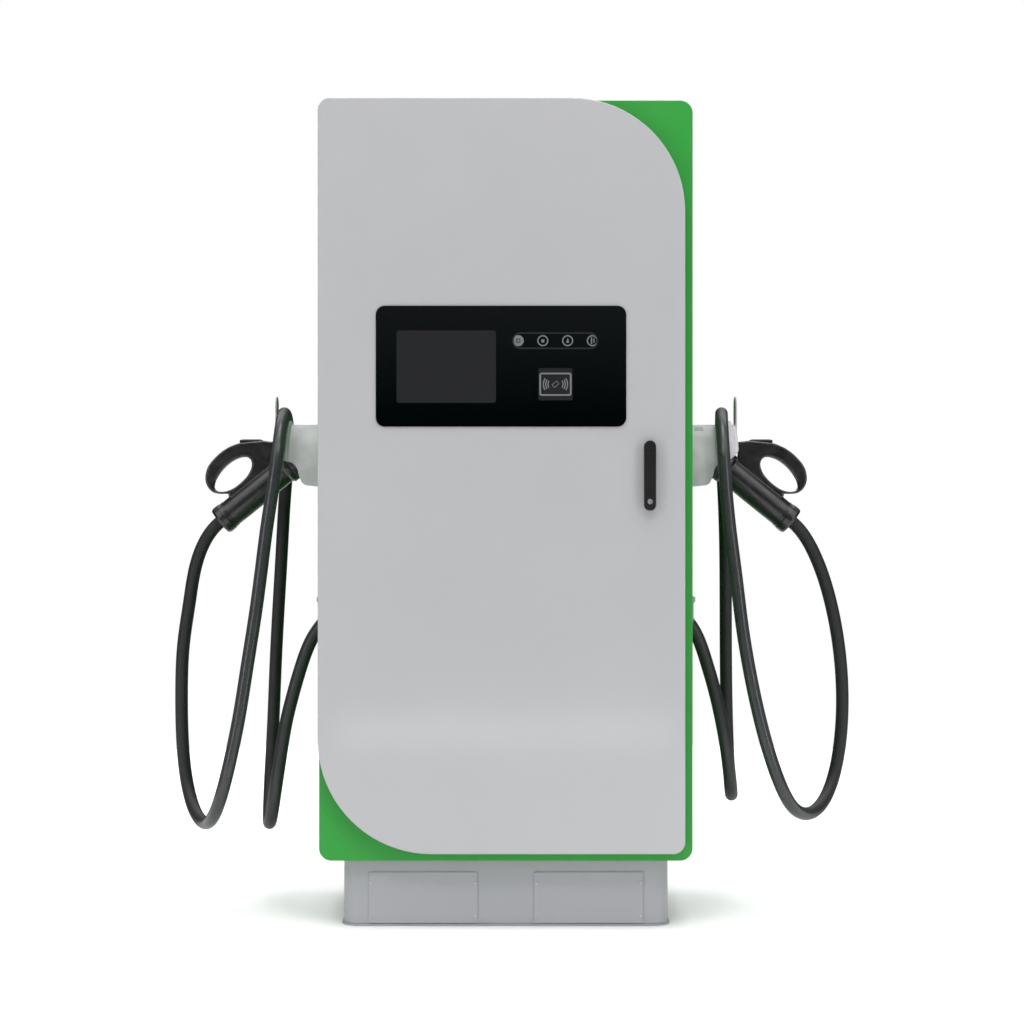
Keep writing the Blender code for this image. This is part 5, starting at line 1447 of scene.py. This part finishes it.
def make_door_backs():
    low, high = span("display_module")
    vent_pitch, lamp_pitch = 0.009, 0.042
    case = box("display_case", low + (0.003, 0.006, 0.003), high - (0.003, 0, 0.003), 0.0018, 3)
    rim = box("display_rim", low, (high[0], low[1] + 0.0075, high[2]), 0.0010)
    vents = [box("vent_cut", (low[0] + 0.030 + k * vent_pitch, high[1] - 0.0012, low[2] + 0.020),
                 (low[0] + 0.033 + k * vent_pitch, high[1] + 0.002, low[2] + 0.060), 0.0)
             for k in range(14)]
    assembly("display_case", [cut(case, *vents), rim], DEVICE_GREY, ["display_module"], "door")
    screws("display_screws",
           [(x, high[1] - 0.0002, z) for x, z in corner_places(low, high, 0.010)], REARWARD,
           body="door")
    low, high = span("indicator_board")
    board = box("lamp_board", low + (0, 0.002, 0), (high[0], low[1] + 0.0036, high[2]), 0.0003)
    dress(board, CIRCUIT, ["indicator_board"], "door")
    parts = [box("lamp_driver", (low[0] + 0.018 + k * lamp_pitch, low[1] + 0.0035, low[2] + 0.012),
                 (low[0] + 0.032 + k * lamp_pitch, low[1] + 0.0058, low[2] + 0.024), 0.0004)
             for k in range(4)]
    parts.append(box("lamp_plug", (high[0] - 0.012, low[1] + 0.0035, low[2] + 0.008),
                     (high[0] - 0.004, high[1], low[2] + 0.032), 0.0006))
    assembly("lamp_board_parts", parts, BLACK, body="door")
    low, high = span("card_reader")
    case = box("reader_case", low, high, 0.0022, 4)
    groove = box("reader_groove", low + (-0.001, 0.007, -0.001),
                 (low[0] + 0.0012, low[1] + 0.008, high[2] + 0.001), 0.0)
    label = box("reader_recess", (low[0] + 0.012, high[1] - 0.0008, low[2] + 0.030), high
                + (-0.012, 0.001, -0.010), 0.0)
    dress(cut(case, groove, label), BLACK, ["card_reader"], "door")
    screws("reader_screws",
           [(x, high[1] - 0.0002, low[2] + 0.009) for x in (low[0] + 0.009, high[0] - 0.009)],
           REARWARD, 0.0030, body="door")


def make_fixings():
    """Wiring ducts and screws of the mounting plate, screws of the hinges, spare cable glands."""
    face = span("mounting_plate")[0][1]
    finger_pitch = 0.010
    ducts = []
    for low, high in (((-0.300, 0.860), (0.300, 0.890)), ((-0.300, 1.220), (0.300, 1.250)),
                      ((-0.325, 0.690), (-0.301, 1.250)), ((0.285, 0.860), (0.309, 1.250))):
        ducts += [box("duct_base", (low[0], face - 0.0450, low[1]), (high[0], face, high[1]),
                      0.0012)]
        upright = high[1] - low[1] > high[0] - low[0]
        length = (high[1] - low[1]) if upright else (high[0] - low[0])
        for k in range(int(length / finger_pitch) - 1):
            start = 0.008 + k * finger_pitch
            if upright:
                for x in (low[0] - 0.0008, high[0] - 0.0004):
                    ducts.append(box("duct_finger", (x, face - 0.0400, low[1] + start),
                                     (x + 0.0012, face - 0.0080, low[1] + start + 0.006), 0.0))
            else:
                for z in (low[1] - 0.0008, high[1] - 0.0004):
                    ducts.append(box("duct_finger", (low[0] + start, face - 0.0400, z),
                                     (low[0] + start + 0.006, face - 0.0080, z + 0.0012), 0.0))
    assembly("wiring_ducts", ducts, DUCT_GREY)
    places = [(x, face - 0.0001, z) for x in (-0.330, 0.330) for z in (0.652, 0.980, 1.308)]
    screws("plate_screws", places, FORWARD, 0.0055)
    for name in ("lower", "upper"):
        low, high = span(f"hinge_frame_leaf_{name}")
        middle = (low[2] + high[2]) / 2
        screws(f"hinge_frame_screws_{name}", [(high[0] - 0.0036, -0.0031, middle + sign * 0.0235)
                                              for sign in (-1, 1)], FORWARD, 0.0022)
    low, high = span("gland_plate")
    holes = [(x, (low[1] + high[1]) / 2 + y) for x, y in ((-0.100, -0.06), (0.100, -0.06),
                                                          (-0.100, 0.06), (0.100, 0.06))]
    glands = []
    for x, depth in holes:
        profile = [(0.0150, 0.0), (0.0150, 0.006), (0.0118, 0.0065), (0.0118, 0.010),
                   (0.0138, 0.0105), (0.0138, 0.019), (0.0110, 0.0225), (0.0070, 0.0230)]
        glands.append(turned("gland", profile, (x, at(depth), high[2] - 0.0002), UPWARD, 6))
    assembly("spare_glands", glands, BLACK)
    screws("gland_plate_screws", [(x, depth, high[2]) for x in (low[0] + 0.008, high[0] - 0.008)
                                  for depth in (low[1] + 0.008, high[1] - 0.008)], UPWARD)


def finish_plain_nodes():
    """Sheet-metal nodes kept as they are: eased edges and their own surface."""
    surfaces = {"lock_rod": STEEL, "hinge": STEEL, "cable": CABLE_BLACK}
    for name, node in NODES.items():
        if node.hide_render:
            continue
        chosen = [surface for start, surface in surfaces.items() if name.startswith(start)]
        node.data.materials.clear()
        node.data.materials.append(chosen[0] if chosen else GALVANISED)
        ease = node.modifiers.new("eased_edges", "BEVEL")
        ease.width = 0.0004
        ease.segments = 2
        ease.limit_method = "ANGLE"
        ease.harden_normals = True


# ---------------------------------------------------------------- making the post
make_camera()
make_light()
make_floor()
cables = {side: make_cable(side, sign) for side, sign in SIDES}
make_shell()
make_plinth()
make_door()
make_fascia()
make_handle()
make_holders()
on_cable = make_guns()
make_exits()
make_rear_panel()
make_exhaust_hood()
make_fans()
for number in range(1, 5):
    make_module(number, *span(f"power_module_{number}"))
make_contactors()
make_meter()
make_power_supply()
make_control_unit()
make_breaker()
make_door_backs()
make_fixings()

finish_plain_nodes()
